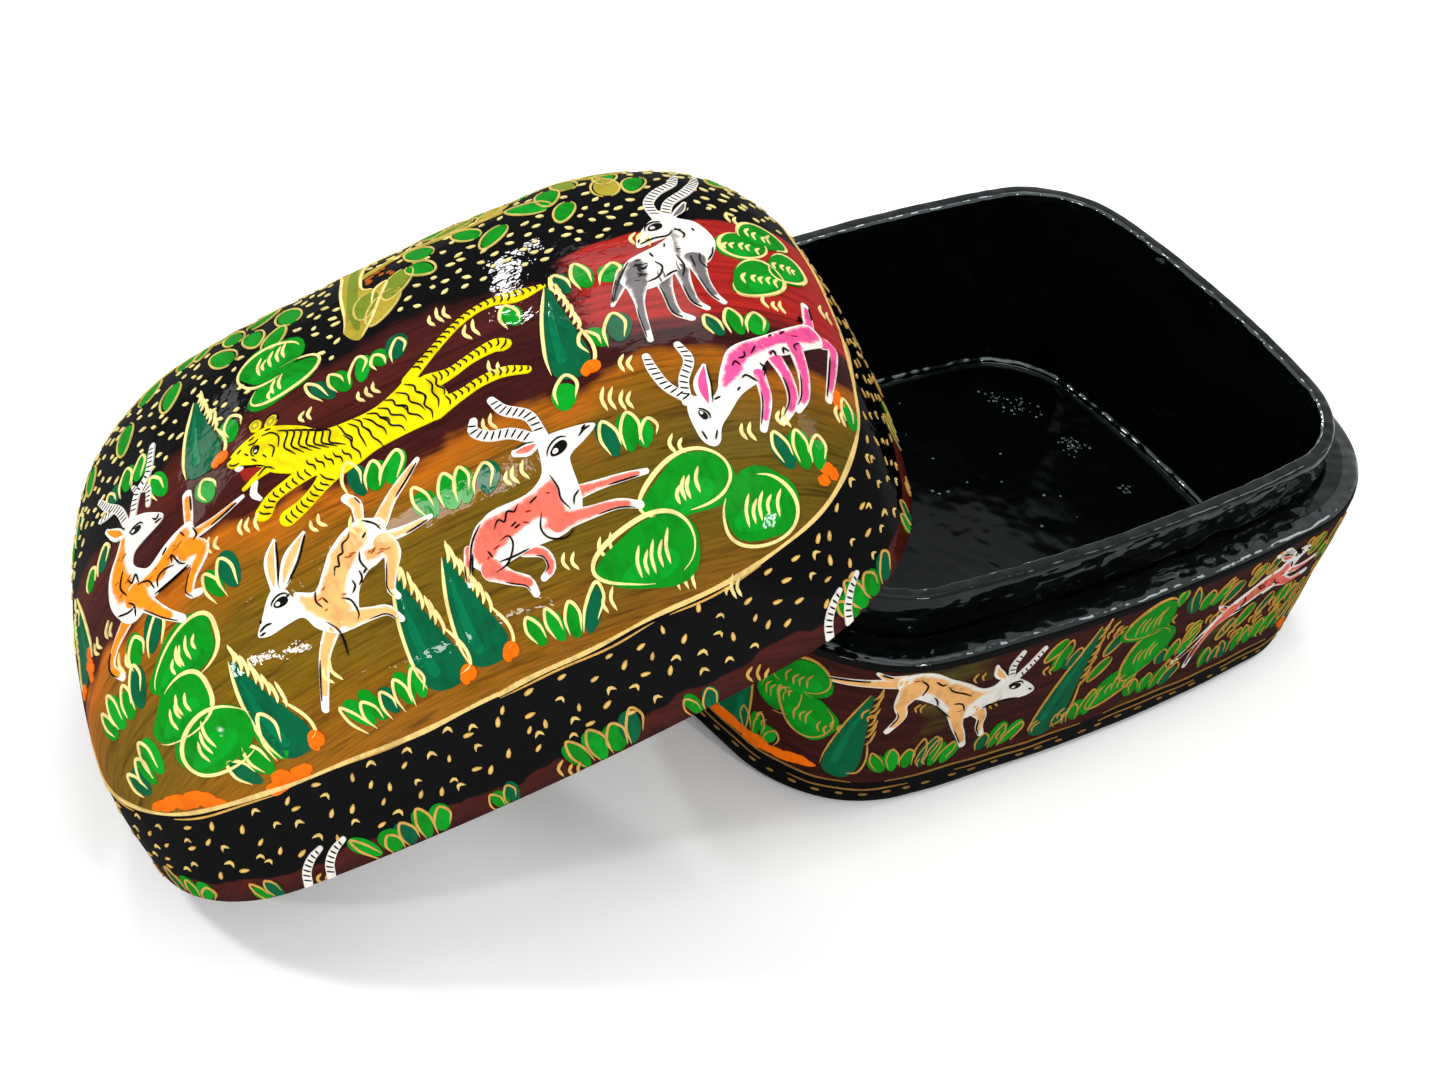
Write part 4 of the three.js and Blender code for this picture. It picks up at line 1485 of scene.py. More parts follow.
def tiger_ruff(canvas):
    """Wavy lines over the tiger's neck and shoulder, and short ones on its chest."""
    wave = np.array([1.0, 0.5])
    for k in range(7):
        start = np.array([-15.6 + k * 0.95, -8.0 - k * 0.75])
        reach = np.array([1.6 + k * 0.28, -7.2 + k * 0.3])
        ink(canvas, [start, start + reach * 0.28 + wave, start + reach * 0.55 - wave * 0.35,
                     start + reach * 0.8, start + reach + wave * 0.4])
    for k in range(5):
        start = np.array([-12.4 + k * 1.35, -17.0 - k * 0.3])
        ink(canvas, [start, start + [0.2, -1.0], start + [0.9, -1.7], start + [1.0, -2.8]])


def stripe_body(canvas, body):
    """Long wavy dark stripes across a beast's body."""
    path = smooth_path(np.array(body), 1.02)
    along, side = sides_of(path)
    for k, (spot, cross, forward) in enumerate(zip(path, side, along)):
        top, low = ((0.5, -0.08), (0.2, -0.5), (0.44, -0.3))[k % 3]
        shares = np.linspace(top, low, 5)
        sway = np.array([-0.9, 0.1, 0.2, 1.0, 1.1]) + [hand.uniform(-0.25, 0.25) for _ in range(5)]
        ink(canvas, [spot[:2] + cross * spot[2] * share + forward * s for share, s in zip(shares, sway)])


def band_limb(canvas, curve):
    """Short dark bands across a limb or tail."""
    path = smooth_path(np.array(curve), 1.1)
    along, side = sides_of(path)
    for spot, cross, forward in list(zip(path, side, along))[2:]:
        middle = spot[:2]
        reach = spot[2] * 0.48
        end = middle - cross * reach * hand.uniform(0.2, 0.9)
        ink(canvas, [middle + cross * reach, middle + forward * 0.3, end], 0.9)


# The tree at the back of the lid; bark and branches are curves of x, y and width
TREE = {
    "trunk": [
        (-5.4, 40), (-3.2, 30), (-3.0, 20), (-2.6, 12), (-3.0, 7.5), (-0.9, 4.0), (1.4, 7.5), (3.2, 14),
        (4.4, 18.5), (2.2, 18.0), (0.4, 20.5), (0.6, 30), (2.2, 40),
    ],
    "bark": [(-1.4, 38, 1.0), (-1.0, 26, 1.6), (-1.2, 14, 1.8), (-0.8, 7, 0.8)],
    "fork": [(-0.4, 4.4), (1.6, 8.0), (3.6, 14.5), (4.6, 18.6), (2.6, 17.4), (1.8, 12.0)],
    "trunk_leaves": [
        (3.6, 10.5, 9.0, 62, "olive_yellow"), (6.0, 16.0, 9.0, 70, "moss"),
        (1.0, 13.0, 8.0, 80, "moss"),
    ],
    "branches": [
        [(-3.0, 36, 2.2), (-13, 40, 1.7), (-27, 38, 1.2), (-41, 32, 0.7)],
        [(0.4, 36, 2.2), (11, 40, 1.7), (26, 38, 1.2), (40, 31, 0.7)],
        [(-2.4, 39, 2.0), (-11, 49, 1.5), (-26, 53, 0.8)],
        [(-0.6, 39, 2.0), (10, 49, 1.5), (26, 53, 0.8)],
        [(0.4, 25, 1.8), (7, 28, 1.4), (15, 26, 1.0), (24, 27, 0.6)],
    ],
    "hanging_leaves": [
        (-12, 24), (-16.5, 30), (-22, 27), (-25, 33), (-14, 17.5), (-23.5, 20.5), (12, 33), (21, 33),
    ],
}
# Rust specks beside the trunk: middle, spread and number
specks_middle, specks_spread, specks = (3.4, 23.0), 2.2, 12
BRANCH_COLOURS = ("leaf", "moss", "leaf", "olive_yellow", "new_leaf")


def tree(canvas):
    """A tree at the back of the lid: forked trunk, branches and hanging leaves."""
    trunk = TREE["trunk"]
    canvas.fill("olive_yellow", closed_path(trunk), 1)
    canvas.stroke("moss", TREE["bark"], 1.0, 2)
    for line in (trunk[:5], TREE["fork"], trunk[9:]):
        canvas.stroke("gold", line, line_width, gold_level, "point")
    for x, y, length, turn, colour in TREE["trunk_leaves"]:
        single_leaf(canvas, x, y, length, turn, "rim_gold", colour)
    for _ in range(specks):
        x, y = np.array(specks_middle) + jitter(specks_spread)
        canvas.fill("rust", oval(x, y, 0.9, 0.8, 0)[:-1], 3)
    for curve in TREE["branches"]:
        branch(canvas, curve)
    for x, y in TREE["hanging_leaves"]:
        single_leaf(canvas, x, y, hand.uniform(6.5, 8.5), -90 + hand.uniform(-35, 35), "rim_gold")


def branch(canvas, curve):
    """A branch with a gold line along it and leaves on both sides in turn."""
    canvas.stroke("olive_yellow", curve, 1.0, 1)
    path = smooth_path(np.array(curve), 4.4)
    along, side = sides_of(path)
    canvas.stroke("rim_gold", path[:, :2] + [0, 0.5], LINE_WIDTHS["rim_gold"], gold_level, "point")
    for k, (spot, forward, cross) in enumerate(zip(path[2:, :2], along[2:], side[2:])):
        way = 1 if k % 2 else -1
        length = hand.uniform(6.4, 8.4)
        aim = forward * hand.uniform(0.5, 0.9) + cross * way
        middle = spot + aim / np.linalg.norm(aim) * (length / 2 + 0.6)
        colour = BRANCH_COLOURS[k % 5]
        single_leaf(canvas, *middle, length, math.degrees(math.atan2(aim[1], aim[0])), "rim_gold", colour)


# Stops of the lid's gold line, and the stops that each piece of the second line has room for
border_stops, border_piece = 330, 22


def lid_line(t):
    """A gold line round the lid, slightly uneven."""
    return np.column_stack([t, border_height + 0.25 * np.sin(t / 9.0) + 0.14 * np.sin(t / 3.1)])


def paint_border():
    """The gold line between the lid's picture and its skirt, doubled here and there."""
    t = np.linspace(0, OUTLINE.length, border_stops)
    width = 0.6 + 0.12 * np.sin(t / 4.3) + 0.08 * np.sin(t / 1.9)
    skirt_paint.stroke("border_gold", np.column_stack([lid_line(t), width]), 0.6, gold_level)
    shift = 0.55 + 0.35 * np.sin(t / 13.0) + 0.12 * np.sin(t / 2.3)
    second = lid_line(t) - np.column_stack([np.zeros(len(t)), shift])
    for k in range(0, border_stops, border_piece):
        piece = second[k:k + hand.randrange(12, border_piece)]
        skirt_paint.stroke("old_gold", piece, 0.3, gold_level - 1, "point")


# Pairs of horns at the lid's rim: places along it, space between the two, and the horn's curve
SKIRT_HORNS = (-38.0, 44.0, 128.0, -150.0)
horn_spacing = 3.6
HORN = [(0, 0, 1.3), (0.9, 2.4, 1.3), (2.6, 4.4, 1.2), (4.6, 5.6, 0.8)]

# Rows of flecks on the skirt and the space between them, and tufts along its rim
fleck_rows, fleck_spacing = 5, 5.0
tufts = 11


def paint_skirt():
    """Black skirt: rows of gold commas, and tufts of leaves along the rim."""
    count = int(OUTLINE.length / fleck_spacing)
    for row in range(fleck_rows):
        for k in range(count):
            t = (k + 0.5 * (row % 2)) * OUTLINE.length / count + hand.uniform(-1.4, 1.4)
            w = 6.2 + row * 2.3 + hand.uniform(-0.8, 0.8)
            if hand.random() < 0.4:
                comma(skirt_paint, t, w, hand.uniform(0.66, 0.88), hand.uniform(-60, 20), "skirt_gold")
            else:
                drop(skirt_paint, t, w, hand.uniform(0.6, 0.84), hand.uniform(-50, 40))
    for k in range(tufts):
        t = (k + 0.35) * OUTLINE.length / tufts + hand.uniform(-4, 4)
        sprig(skirt_paint, t, 0.2, hand.choice((3, 4, 5)), 0.86, hand.uniform(-6, 6), "old_gold")
        sprig(skirt_paint, t + hand.uniform(13, 15), -0.4, 2, 0.62, hand.uniform(-20, 20), "old_gold")
        ticks(skirt_paint, t + hand.uniform(20, 24), 0.6, 3, 2.6, -24, "old_gold")
    for t in SKIRT_HORNS:
        for foot in (t, t + horn_spacing):
            horn(Pen(skirt_paint, foot, 0.3), HORN)


# Flecks of the sky: rows from the lid's middle to its back, and places along a row
SKY_ROWS = np.arange(3.5, 62, 2.6)
SKY_PLACES = np.arange(-66, 67, 3.2)


def paint_sky():
    """Gold flecks over the black half of the lid."""
    for row, y in enumerate(SKY_ROWS):
        for x in SKY_PLACES:
            spot = np.array([x + 1.6 * (row % 2), y]) + jitter(0.8)
            edge = 60 - 0.00006 * abs(spot[0]) ** 3
            red = spot[0] > 30 and spot[1] < red_slope * spot[0] + red_start + 1.5
            below = spot[1] < 3 + 3 * math.sin(x / 11)
            outside = spot[1] > edge or below or abs(spot[0]) > 71 - 0.12 * spot[1]
            if outside or red or lid_paint.covered(spot, fleck_margin):
                continue
            fleck(lid_paint, *spot, hand.uniform(0.9, 1.6), hand.uniform(-40, 40), width=0.66)


# Plants of the lid's picture. Leaves of a clump: place, length, width and turn
LID_CLUMPS = (
    [(-14.0, 3.0, 11.5, 7.8, 10), (-15.0, 10.6, 11.5, 9.4, 20)],
    [
        (57.5, 6.0, 11, 6.8, 58), (62.0, 12.2, 9.5, 8.2, 40), (58.4, -3.6, 13.5, 7.4, 52),
        (64.8, 3.2, 12, 6.6, 58),
    ],
    [(-39.5, -35.4, 14.5, 7.6, 10), (-43.5, -41.6, 13.5, 7.2, 4), (-42.5, -47.4, 15, 7.8, 2)],
    [(38.5, -44.6, 13.5, 8.4, 12), (48.8, -48.6, 13.5, 9.0, 10), (30.8, -51.6, 15.5, 9.4, 6)],
)
# Tall leaves: place, height, width and mirror
LID_TALL_LEAVES = (
    (-28.4, -6.2, 19, 6.4, False), (27.6, -23.0, 22, 5.8, False), (-32.6, -55.4, 15, 6.6, False),
    (-6.0, -58.0, 17, 7.4, False), (2.0, -57.6, 16, 7.2, False), (-60, -21, 20, 6.4, True),
)
# Tufts: place and leaves
LID_SPRIGS = (
    (-4, -7, 3), (3, -5, 2), (7, -36, 4), (32, -38, 3), (57, -44, 3), (15, -59, 4), (-16, -58, 5),
    (-56, -46, 3), (-53, -37, 4), (33.5, -4, 3), (34, -19, 2), (52, -20, 3), (-4, -28, 3),
    (-28.5, -31.6, 2), (-43, 5.0, 3), (24.5, -28.6, 1), (-35.2, -4.5, 1), (-23, -3.5, 1),
    (-52.5, -7, 2), (-39, -55.5, 3), (-63, -8, 2), (21.5, -8.5, 1), (68, -35, 1), (-60, 12, 2),
    (-28, -14, 1), (-45, -32, 2),
)
# Single leaves: place and turn
LID_LEAVES = (
    (-33, 20, 75), (-43, 19, 80), (-18, 21, 100), (10, 17, 120), (22, 18, 60), (33, 19, 75),
    (44, 26, 80), (-53, 22, 85), (58, 33, 70), (31, 26, 90), (40, 31, 85), (-28, 30, 80),
)
# Ticks of grass: place and number
LID_TICKS = (
    (-30, -24, 2), (-25, -24, 3), (-9, -33, 2), (17, -18, 2), (12, -27, 3), (30, -31, 4), (34, -25, 2),
    (37.5, -40, 2), (48, -40, 2), (-12, -9, 2), (-2.5, -11, 3), (15, -8, 2), (14, -36, 3), (22, -57, 2),
    (24, -50, 2), (-22, -50, 2), (58, -11.5, 3), (41, 5.5, 3), (-50, -31, 2), (-55, -22, 2),
    (-52, -22, 2), (43, -60, 2), (54, -38, 2), (64.5, -35, 2), (-14, -30, 2), (34, -57, 3),
    (18, -50, 2), (10, -1, 3), (57, 14, 2), (70, -6, 2),
)
# Fallen leaves: place, length and turn
LID_FALLEN_LEAVES = (
    (-58.0, -20, 7, 100), (-55, -50.5, 14, -30), (-38, -57.5, 8, -12), (61, -44.5, 4, 50),
    (66, -30, 4, 60),
)


def paint_lid_plants():
    """Leaves, clumps, tufts and ticks of the lid's picture."""
    for clump in LID_CLUMPS:
        for k, spot in enumerate(clump):
            lobe(lid_paint, *spot, 1 + 2 * k)
    for x, y, height, width, mirror in LID_TALL_LEAVES:
        tall_leaf(lid_paint, x, y, height, width, hand.uniform(-2, 2), mirror)
    for x, y, leaves in LID_SPRIGS:
        sprig(lid_paint, x, y, leaves, hand.uniform(0.86, 1.02), hand.uniform(-8, 8))
    for x, y, turn in LID_LEAVES:
        single_leaf(lid_paint, x, y, hand.uniform(6.0, 7.5), turn, "rim_gold")
    for x, y, count in LID_TICKS:
        ticks(lid_paint, x, y, count, hand.uniform(2.6, 4.0), hand.uniform(-14, 14))
    for x, y, length, turn in LID_FALLEN_LEAVES:
        fallen_leaves(lid_paint, x, y, length, turn)


# Beasts of the lid's picture: kind, coat and colour of the hairs
LID_BEASTS = (
    ("stag", "amber", "rust"), ("hind", "tan", "rust"), ("antelope", "coral", "crimson"),
    ("oryx", "grey", "ink"), ("grazer", "pink", "crimson"),
)


def paint_lid_beasts():
    """The animals of the lid's picture."""
    tiger(lid_paint)
    for kind, coat, shade in LID_BEASTS:
        beast(Pen(lid_paint, 0, 0), kind, coat, shade)


# The base's wall. Lines round its foot: height, width, pieces and the share of each that is drawn
WALL_LINES = (
    (wall_line, 0.3, 9, 0.96),
    (foot_line + 1.2, 0.24, 13, 0.8),
    (foot_line, 0.4, 90, 0.4),
)
# Beasts: kind, coat, colour of the hairs, place, size, turn, mirror and the middle of the figure
WALL_BEASTS = (
    ("runner", "tan", "rust", 0, 0, 1.0, 0, False, (0, 0)),
    ("kid", "coral", "crimson", 0, 0, 1.0, 0, False, (0, 0)),
    ("antelope", "amber", "rust", 84, 19.5, 0.72, 6, True, (17, -37)),
    ("runner", "tan", "rust", 128, 21.5, 0.92, 4, True, (-38, 23)),
    ("hind", "coral", "crimson", 174, 21.0, 0.8, -12, True, (-12, -38)),
    ("runner", "pink", "crimson", -170, 21.5, 0.9, 0, False, (-38, 23)),
    ("kid", "tan", "rust", -124, 20.5, 1.0, -10, False, (28, 22)),
    ("antelope", "coral", "crimson", -92, 19.5, 0.7, 0, False, (17, -37)),
)
# Big leaves: place, length, width and turn
WALL_LOBES = (
    (-1, 14, 10, 7, 30), (4, 20.5, 12, 9, 80), (1, 28.5, 11, 9, 20), (-67, 22, 9, 8, 50),
    (-61, 19.5, 11, 9, -20), (-63, 27, 10, 8, 30),
)
# Clumps of three big leaves: the clump's place along the edge, and each leaf's place in it
WALL_CLUMPS = (56, 106, 150, -146, -106)
CLUMP_LEAVES = ((-3, 14), (4, 19), (0, 26))
# Tall leaves: place along the edge, height and mirror
WALL_TALL_LEAVES = (
    (-54, 20, False), (-14, 25, False), (46, 19, True), (66, 22, False), (112, 23, False),
    (144, 20, True), (158, 24, False), (194, 23, True), (-192, 20, False), (-152, 24, False),
    (-138, 22, True), (-112, 20, False), (-76, 18, True),
)
# Tufts: place and leaves
WALL_SPRIGS = (
    (-42, 9, 4), (-36, 8, 3), (-24, 8, 3), (-16, 24, 2), (-7, 8, 3), (11, 15, 3), (9, 8, 4),
    (14, 26, 3), (36, 9, 4), (30, 8, 3), (23, 8, 2), (48, 9, 3), (62, 8, 4), (78, 8, 3), (94, 8, 4),
    (108, 8, 3), (121, 8, 3), (136, 8, 4), (153, 8, 3), (166, 8, 3), (182, 8, 4), (-181, 8, 3),
    (-163, 8, 4), (-143, 8, 3), (-130, 8, 4), (-116, 8, 3), (-98, 8, 3), (-84, 8, 3), (-70, 9, 3),
    (44, 25, 2), (98, 25, 2), (-116, 26, 2), (38, 16, 2), (7, 30, 1),
)
# Fallen leaves: place along the edge
WALL_FALLEN_LEAVES = (-66, -74, 112, 176, -132)
# Ticks strewn all round: their number
strewn_ticks = 90
# Small leaves in the bare places at the right-hand end: place and turn
WALL_LEAVES = (
    (-6.5, 20.5, 60), (-5.5, 26.5, 65), (-18.5, 30, 55), (20.4, 27.6, 60), (25.2, 29.6, 62),
    (29.4, 30.8, 60), (14.2, 20.8, 62), (23.8, 16.8, 60), (27.8, 18.4, 62), (32.2, 19.2, 60),
    (37.2, 18.8, 64), (41.4, 18.4, 60), (39.8, 30.2, 66), (44.6, 30.4, 62), (41.2, 14.2, 60),
    (49.5, 22, 60),
)
# Ticks beside them: place
WALL_TICKS = (
    (17.2, 30.2), (22.4, 30.6), (27.4, 28.4), (11.6, 22), (30, 15.4), (35.2, 15.4), (43.6, 21.4),
    (-8, 30), (36.6, 31), (25.6, 14), (47.8, 29.4), (14.6, 15.8),
)


def paint_wall():
    """The base's wall: lines at the foot, animals, leaves and tufts all round."""
    paint_wall_lines()
    for kind, coat, shade, s, z, size, turn, mirror, middle in WALL_BEASTS:
        beast(Pen(wall_paint, s, z, size, turn, mirror, middle), kind, coat, shade)
    paint_wall_plants()


def paint_wall_lines():
    """Gold lines round the wall's foot: long ones, and a row of dashes below."""
    for height, width, pieces, share in WALL_LINES:
        for k in range(pieces):
            start = (k + hand.uniform(-0.3, 0.3) * (1 - share)) * OUTLINE.length / pieces
            reach = OUTLINE.length / pieces * hand.uniform(0.7, 1.0) * share
            s = np.linspace(start, start + reach, max(4, int(reach / 2)))
            line = np.column_stack([s, height + 0.3 * np.sin(s / 7.0) + 0.1 * np.sin(s / 1.7)])
            wall_paint.stroke("foot_gold", line, width, gold_level, "point")


def paint_wall_plants():
    """Leaves, clumps, tufts and ticks round the wall."""
    for k, (s, z, length, width, turn) in enumerate(WALL_LOBES):
        lobe(wall_paint, s, z, length, width, turn, 1 + 2 * (k % 3), "wall_gold")
    for s in WALL_CLUMPS:
        for k, (dx, dz) in enumerate(CLUMP_LEAVES):
            lobe(wall_paint, s + dx, dz, 11, 8, hand.uniform(0, 70), 1 + 2 * k, "wall_gold")
    for s, height, mirror in WALL_TALL_LEAVES:
        tall_leaf(wall_paint, s, wall_line + 1.4, height, 6.4, hand.uniform(-14, -4), mirror, "wall_gold",
                  hand.random() < 0.5)
    for s, z, leaves in WALL_SPRIGS:
        sprig(wall_paint, s, z, leaves, 0.82, hand.uniform(-10, 10), "wall_gold")
    for k in range(strewn_ticks):
        s = (k + hand.uniform(0, 0.8)) * OUTLINE.length / strewn_ticks
        ticks(wall_paint, s, hand.uniform(8, 29), 2, 2.4, hand.uniform(-30, 10), "wall_gold")
    for s in WALL_FALLEN_LEAVES:
        fallen_leaves(wall_paint, s, wall_line + 1.4, 15, 0)
    for k, (s, z, turn) in enumerate(WALL_LEAVES):
        colour = ("leaf", "deep_leaf")[k % 2]
        single_leaf(wall_paint, s, z, hand.uniform(4.2, 5.4), turn, "wall_gold", colour)
    for s, z in WALL_TICKS:
        ticks(wall_paint, s, z, 3, 2.3, hand.uniform(-40, -15), "wall_gold")


# Materials

def linear(colour):
    """A colour of 0 to 255 as linear light, with alpha."""
    shares = [c / 255 for c in colour]
    return [c / 12.92 if c <= 0.04045 else ((c + 0.055) / 1.055) ** 2.4 for c in shares] + [1.0]


def grey(level):
    """A grey of linear light, with alpha."""
    return (level, level, level, 1)


# The clear coat over the paint
coat_weight, coat_roughness, coat_ior = 0.045, 0.025, 2.0


class Shader:
    """A material and short calls for its nodes."""

    def __init__(self, name):
        self.material = bpy.data.materials.new(name)
        self.material.use_nodes = True
        self.tree = self.material.node_tree
        self.surface = self.tree.nodes["Principled BSDF"]

    def node(self, kind, **inputs):
        """A new node with some of its inputs set."""
        node = self.tree.nodes.new(kind)
        for name, value in inputs.items():
            self.put(node.inputs[name.replace("_", " ")], value)
        return node

    def put(self, socket, value):
        """Set a socket to a value, or link another node's output to it."""
        if isinstance(value, bpy.types.NodeSocket):
            self.tree.links.new(value, socket)
        else:
            socket.default_value = value

    def math(self, operation, first, second=0.0, third=0.0):
        """One step of arithmetic."""
        node = self.tree.nodes.new("ShaderNodeMath")
        node.operation = operation
        for socket, value in zip(node.inputs, (first, second, third)):
            self.put(socket, value)
        return node.outputs[0]

    def noise(self, vector, scale, detail=3.0, roughness=0.55):
        """A smooth random value, about 0.5."""
        node = self.node("ShaderNodeTexNoise", Vector=vector, Scale=scale, Detail=detail,
                         Roughness=roughness)
        return node.outputs["Fac"]

    def object_place(self):
        """Place on the object in metres."""
        return self.tree.nodes.new("ShaderNodeTexCoord").outputs["Object"]

    def scaled(self, vector, scale):
        """A vector times a scale for each axis."""
        node = self.node("ShaderNodeMapping", Vector=vector, Scale=scale)
        return node.outputs["Vector"]

    def attribute(self, name):
        """Values kept on the mesh's points."""
        node = self.node("ShaderNodeAttribute")
        node.attribute_name = name
        return node

    def shine(self, noise, smooth, dull, start=0.3):
        """Roughness that follows a noise."""
        return self.ramp(noise, [(start, grey(smooth)), (0.7, grey(dull))])

    def ramp(self, factor, stops):
        """Colours from stops of place and colour."""
        node = self.node("ShaderNodeValToRGB", Fac=factor)
        while len(node.color_ramp.elements) < len(stops):
            node.color_ramp.elements.new(0.5)
        for element, (place, colour) in zip(node.color_ramp.elements, stops):
            element.position = place
            element.color = colour
        return node.outputs["Color"]

    def mix(self, factor, first, second, blend="MIX"):
        """Two colours mixed by a share."""
        node = self.tree.nodes.new("ShaderNodeMix")
        node.data_type = "RGBA"
        node.blend_type = blend
        self.put(node.inputs["Factor"], factor)
        self.put(node.inputs["A"], first)
        self.put(node.inputs["B"], second)
        return node.outputs["Result"]

    def step(self, value, low, high):
        """A smooth share from 0 at low to 1 at high."""
        node = self.tree.nodes.new("ShaderNodeMapRange")
        node.interpolation_type = "SMOOTHSTEP"
        for name, setting in (("Value", value), ("From Min", low), ("From Max", high)):
            self.put(node.inputs[name], setting)
        return node.outputs["Result"]

    def bump(self, height, strength, distance, under=None):
        """A normal bent by a height, over another bump."""
        node = self.node("ShaderNodeBump", Height=height, Strength=strength, Distance=distance)
        if under is not None:
            self.put(node.inputs["Normal"], under)
        return node.outputs["Normal"]

    def lacquer(self, colour, roughness, normal, gloss):
        """Paint under a clear coat."""
        self.put(self.surface.inputs["Base Color"], colour)
        self.put(self.surface.inputs["Roughness"], roughness)
        self.put(self.surface.inputs["Normal"], normal)
        self.put(self.surface.inputs["Coat Normal"], gloss)
        self.surface.inputs["Coat Weight"].default_value = coat_weight
        self.surface.inputs["Coat Roughness"].default_value = coat_roughness
        self.surface.inputs["Coat IOR"].default_value = coat_ior
        self.surface.inputs["Specular IOR Level"].default_value = 0.0
        return self.material


def clear_coat(shader, place):
    """The clear lacquer's surface: slow waves, and a little of the brush marks under it."""
    waves = shader.bump(shader.noise(place, 150.0, 2.0), 0.4, 0.0005)
    return shader.bump(shader.noise(place, 700.0, 2.0), 0.4, 0.0001, waves)


# Materials of the paints made so far
_paints = {}


def paint_material(colour):
    """Brushed opaque paint of one colour under clear lacquer; coat colours wash out to white."""
    if colour not in _paints:
        shader = Shader(f"paint_{colour}")
        place = shader.object_place()
        base = PAINTS[colour]
        thin = linear([c * (0.95 if colour == "white" else 0.88) for c in base])
        thick = linear([min(255, c * 1.03) for c in base])
        brush = shader.noise(shader.scaled(place, (900, 260, 420)), 1.0, 4.0, 0.6)
        patch = shader.noise(place, 190.0, 2.0)
        cover = shader.math("ADD", shader.math("MULTIPLY", brush, 0.6), shader.math("MULTIPLY", patch, 0.4))
        tone = shader.mix(shader.step(cover, 0.34, 0.56), thin, thick)
        if colour in COATS:
            wash = shader.attribute("wash").outputs["Fac"]
            grain = shader.noise(place, 480.0, 3.0, 0.6)
            reach = shader.math("ADD", wash, shader.math("MULTIPLY_ADD", grain, 1.1, -0.6))
            tone = shader.mix(shader.step(reach, 0.05, 0.7), linear(PAINTS["white"]), tone)
        roughness = shader.shine(brush, 0.24, 0.4)
        rough_normal = shader.bump(brush, 0.2, 0.00005)
        _paints[colour] = shader.lacquer(tone, roughness, rough_normal, clear_coat(shader, place))
    return _paints[colour]


# Grounds under the figures, as red, green and blue from 0 to 255
GROUNDS = {
    "olive": (126, 96, 18),
    "earth": (160, 102, 20),
    "rust": (206, 112, 18),
    "maroon": (72, 24, 19),
    "wine": (92, 32, 26),
    "night": (4, 4, 5),
}
# Bands of the lid's ground: millimetres behind the crown, and the colour there
LID_BANDS = (
    (-58, "earth"), (-48, "olive"), (-38, "olive"), (-30, "earth"), (-25, "rust"), (-22.5, "maroon"),
    (-12, "maroon"), (-5, "wine"), (0.5, "maroon"), (2.5, "night"),
)
bands_front, bands_reach = -70.0, 110.0


def lid_ground_material():
    """The lid's ground: olive and brown streaks, maroon band, red patch, black sky and skirt."""
    shader = Shader("lid_ground")
    spot = shader.attribute("paint").outputs["Vector"]
    right, back, height = shader.node("ShaderNodeSeparateXYZ", Vector=spot).outputs
    wander = shader.noise(shader.scaled(spot, (0.05, 0.02, 0.0)), 1.0, 3.0)
    brush = shader.noise(shader.scaled(spot, (0.06, 0.75, 0.0)), 1.0, 5.0, 0.62)
    fine = shader.noise(shader.scaled(spot, (0.16, 2.6, 0.0)), 1.0, 4.0, 0.6)
    ground = lid_bands(shader, back, wander, brush)
    ground = lid_streaks(shader, ground, right, brush, fine)
    ground = red_patch(shader, ground, right, back, wander, brush)
    ground = skirt_bands(shader, ground, height, wander, brush)
    rough_normal = shader.bump(fine, 0.25, 0.00006)
    return shader.lacquer(ground, shader.shine(brush, 0.22, 0.36), rough_normal,
                          clear_coat(shader, shader.object_place()))


def lid_bands(shader, back, wander, brush):
    """Bands of colour from the lid's front to its back, with loose edges."""
    depth = shader.math("ADD", back, shader.math("MULTIPLY_ADD", wander, 22.0, -11.0))
    depth = shader.math("ADD", depth, shader.math("MULTIPLY_ADD", brush, 5.0, -2.5))
    share = shader.math("DIVIDE", shader.math("SUBTRACT", depth, bands_front), bands_reach)
    stops = [((place - bands_front) / bands_reach, linear(GROUNDS[name])) for place, name in LID_BANDS]
    return shader.ramp(share, stops)


def lid_streaks(shader, ground, right, brush, fine):
    """Streaks and hairs of the brush over the ground, which is darker to the right."""
    streak = shader.ramp(brush, [(0.34, (0.38, 0.34, 0.3, 1)), (0.49, grey(1)), (0.7, (1.0, 0.9, 0.7, 1))])
    ground = shader.mix(0.85, ground, streak, "MULTIPLY")
    dark_side = shader.step(right, -30.0, 45.0)
    ground = shader.mix(dark_side, ground, (0.72, 0.82, 1.15, 1), "MULTIPLY")
    hair = shader.ramp(fine, [(0.38, (0.62, 0.6, 0.55, 1)), (0.6, grey(1))])
    return shader.mix(0.7, ground, hair, "MULTIPLY")


def red_patch(shader, ground, right, back, wander, brush):
    """The red patch at the lid's right, under a slanting edge."""
    under_edge = shader.math("SUBTRACT", shader.math("MULTIPLY_ADD", right, red_slope, red_start), back)
    under_edge = shader.math("ADD", under_edge, shader.math("MULTIPLY_ADD", wander, 6.0, -3.0))
    loose = shader.math("MULTIPLY_ADD", brush, 9.0, -4.5)
    share = shader.math("MULTIPLY", shader.step(under_edge, -0.4, 0.4),
                        shader.step(shader.math("ADD", right, loose), 29.0, 34.0))
    share = shader.math("MULTIPLY", share, shader.step(shader.math("ADD", back, loose), -18.0, -12.0))
    red = shader.ramp(brush, [(0.3, linear((132, 22, 18))), (0.6, linear((178, 36, 30)))])
    return shader.mix(share, ground, red)


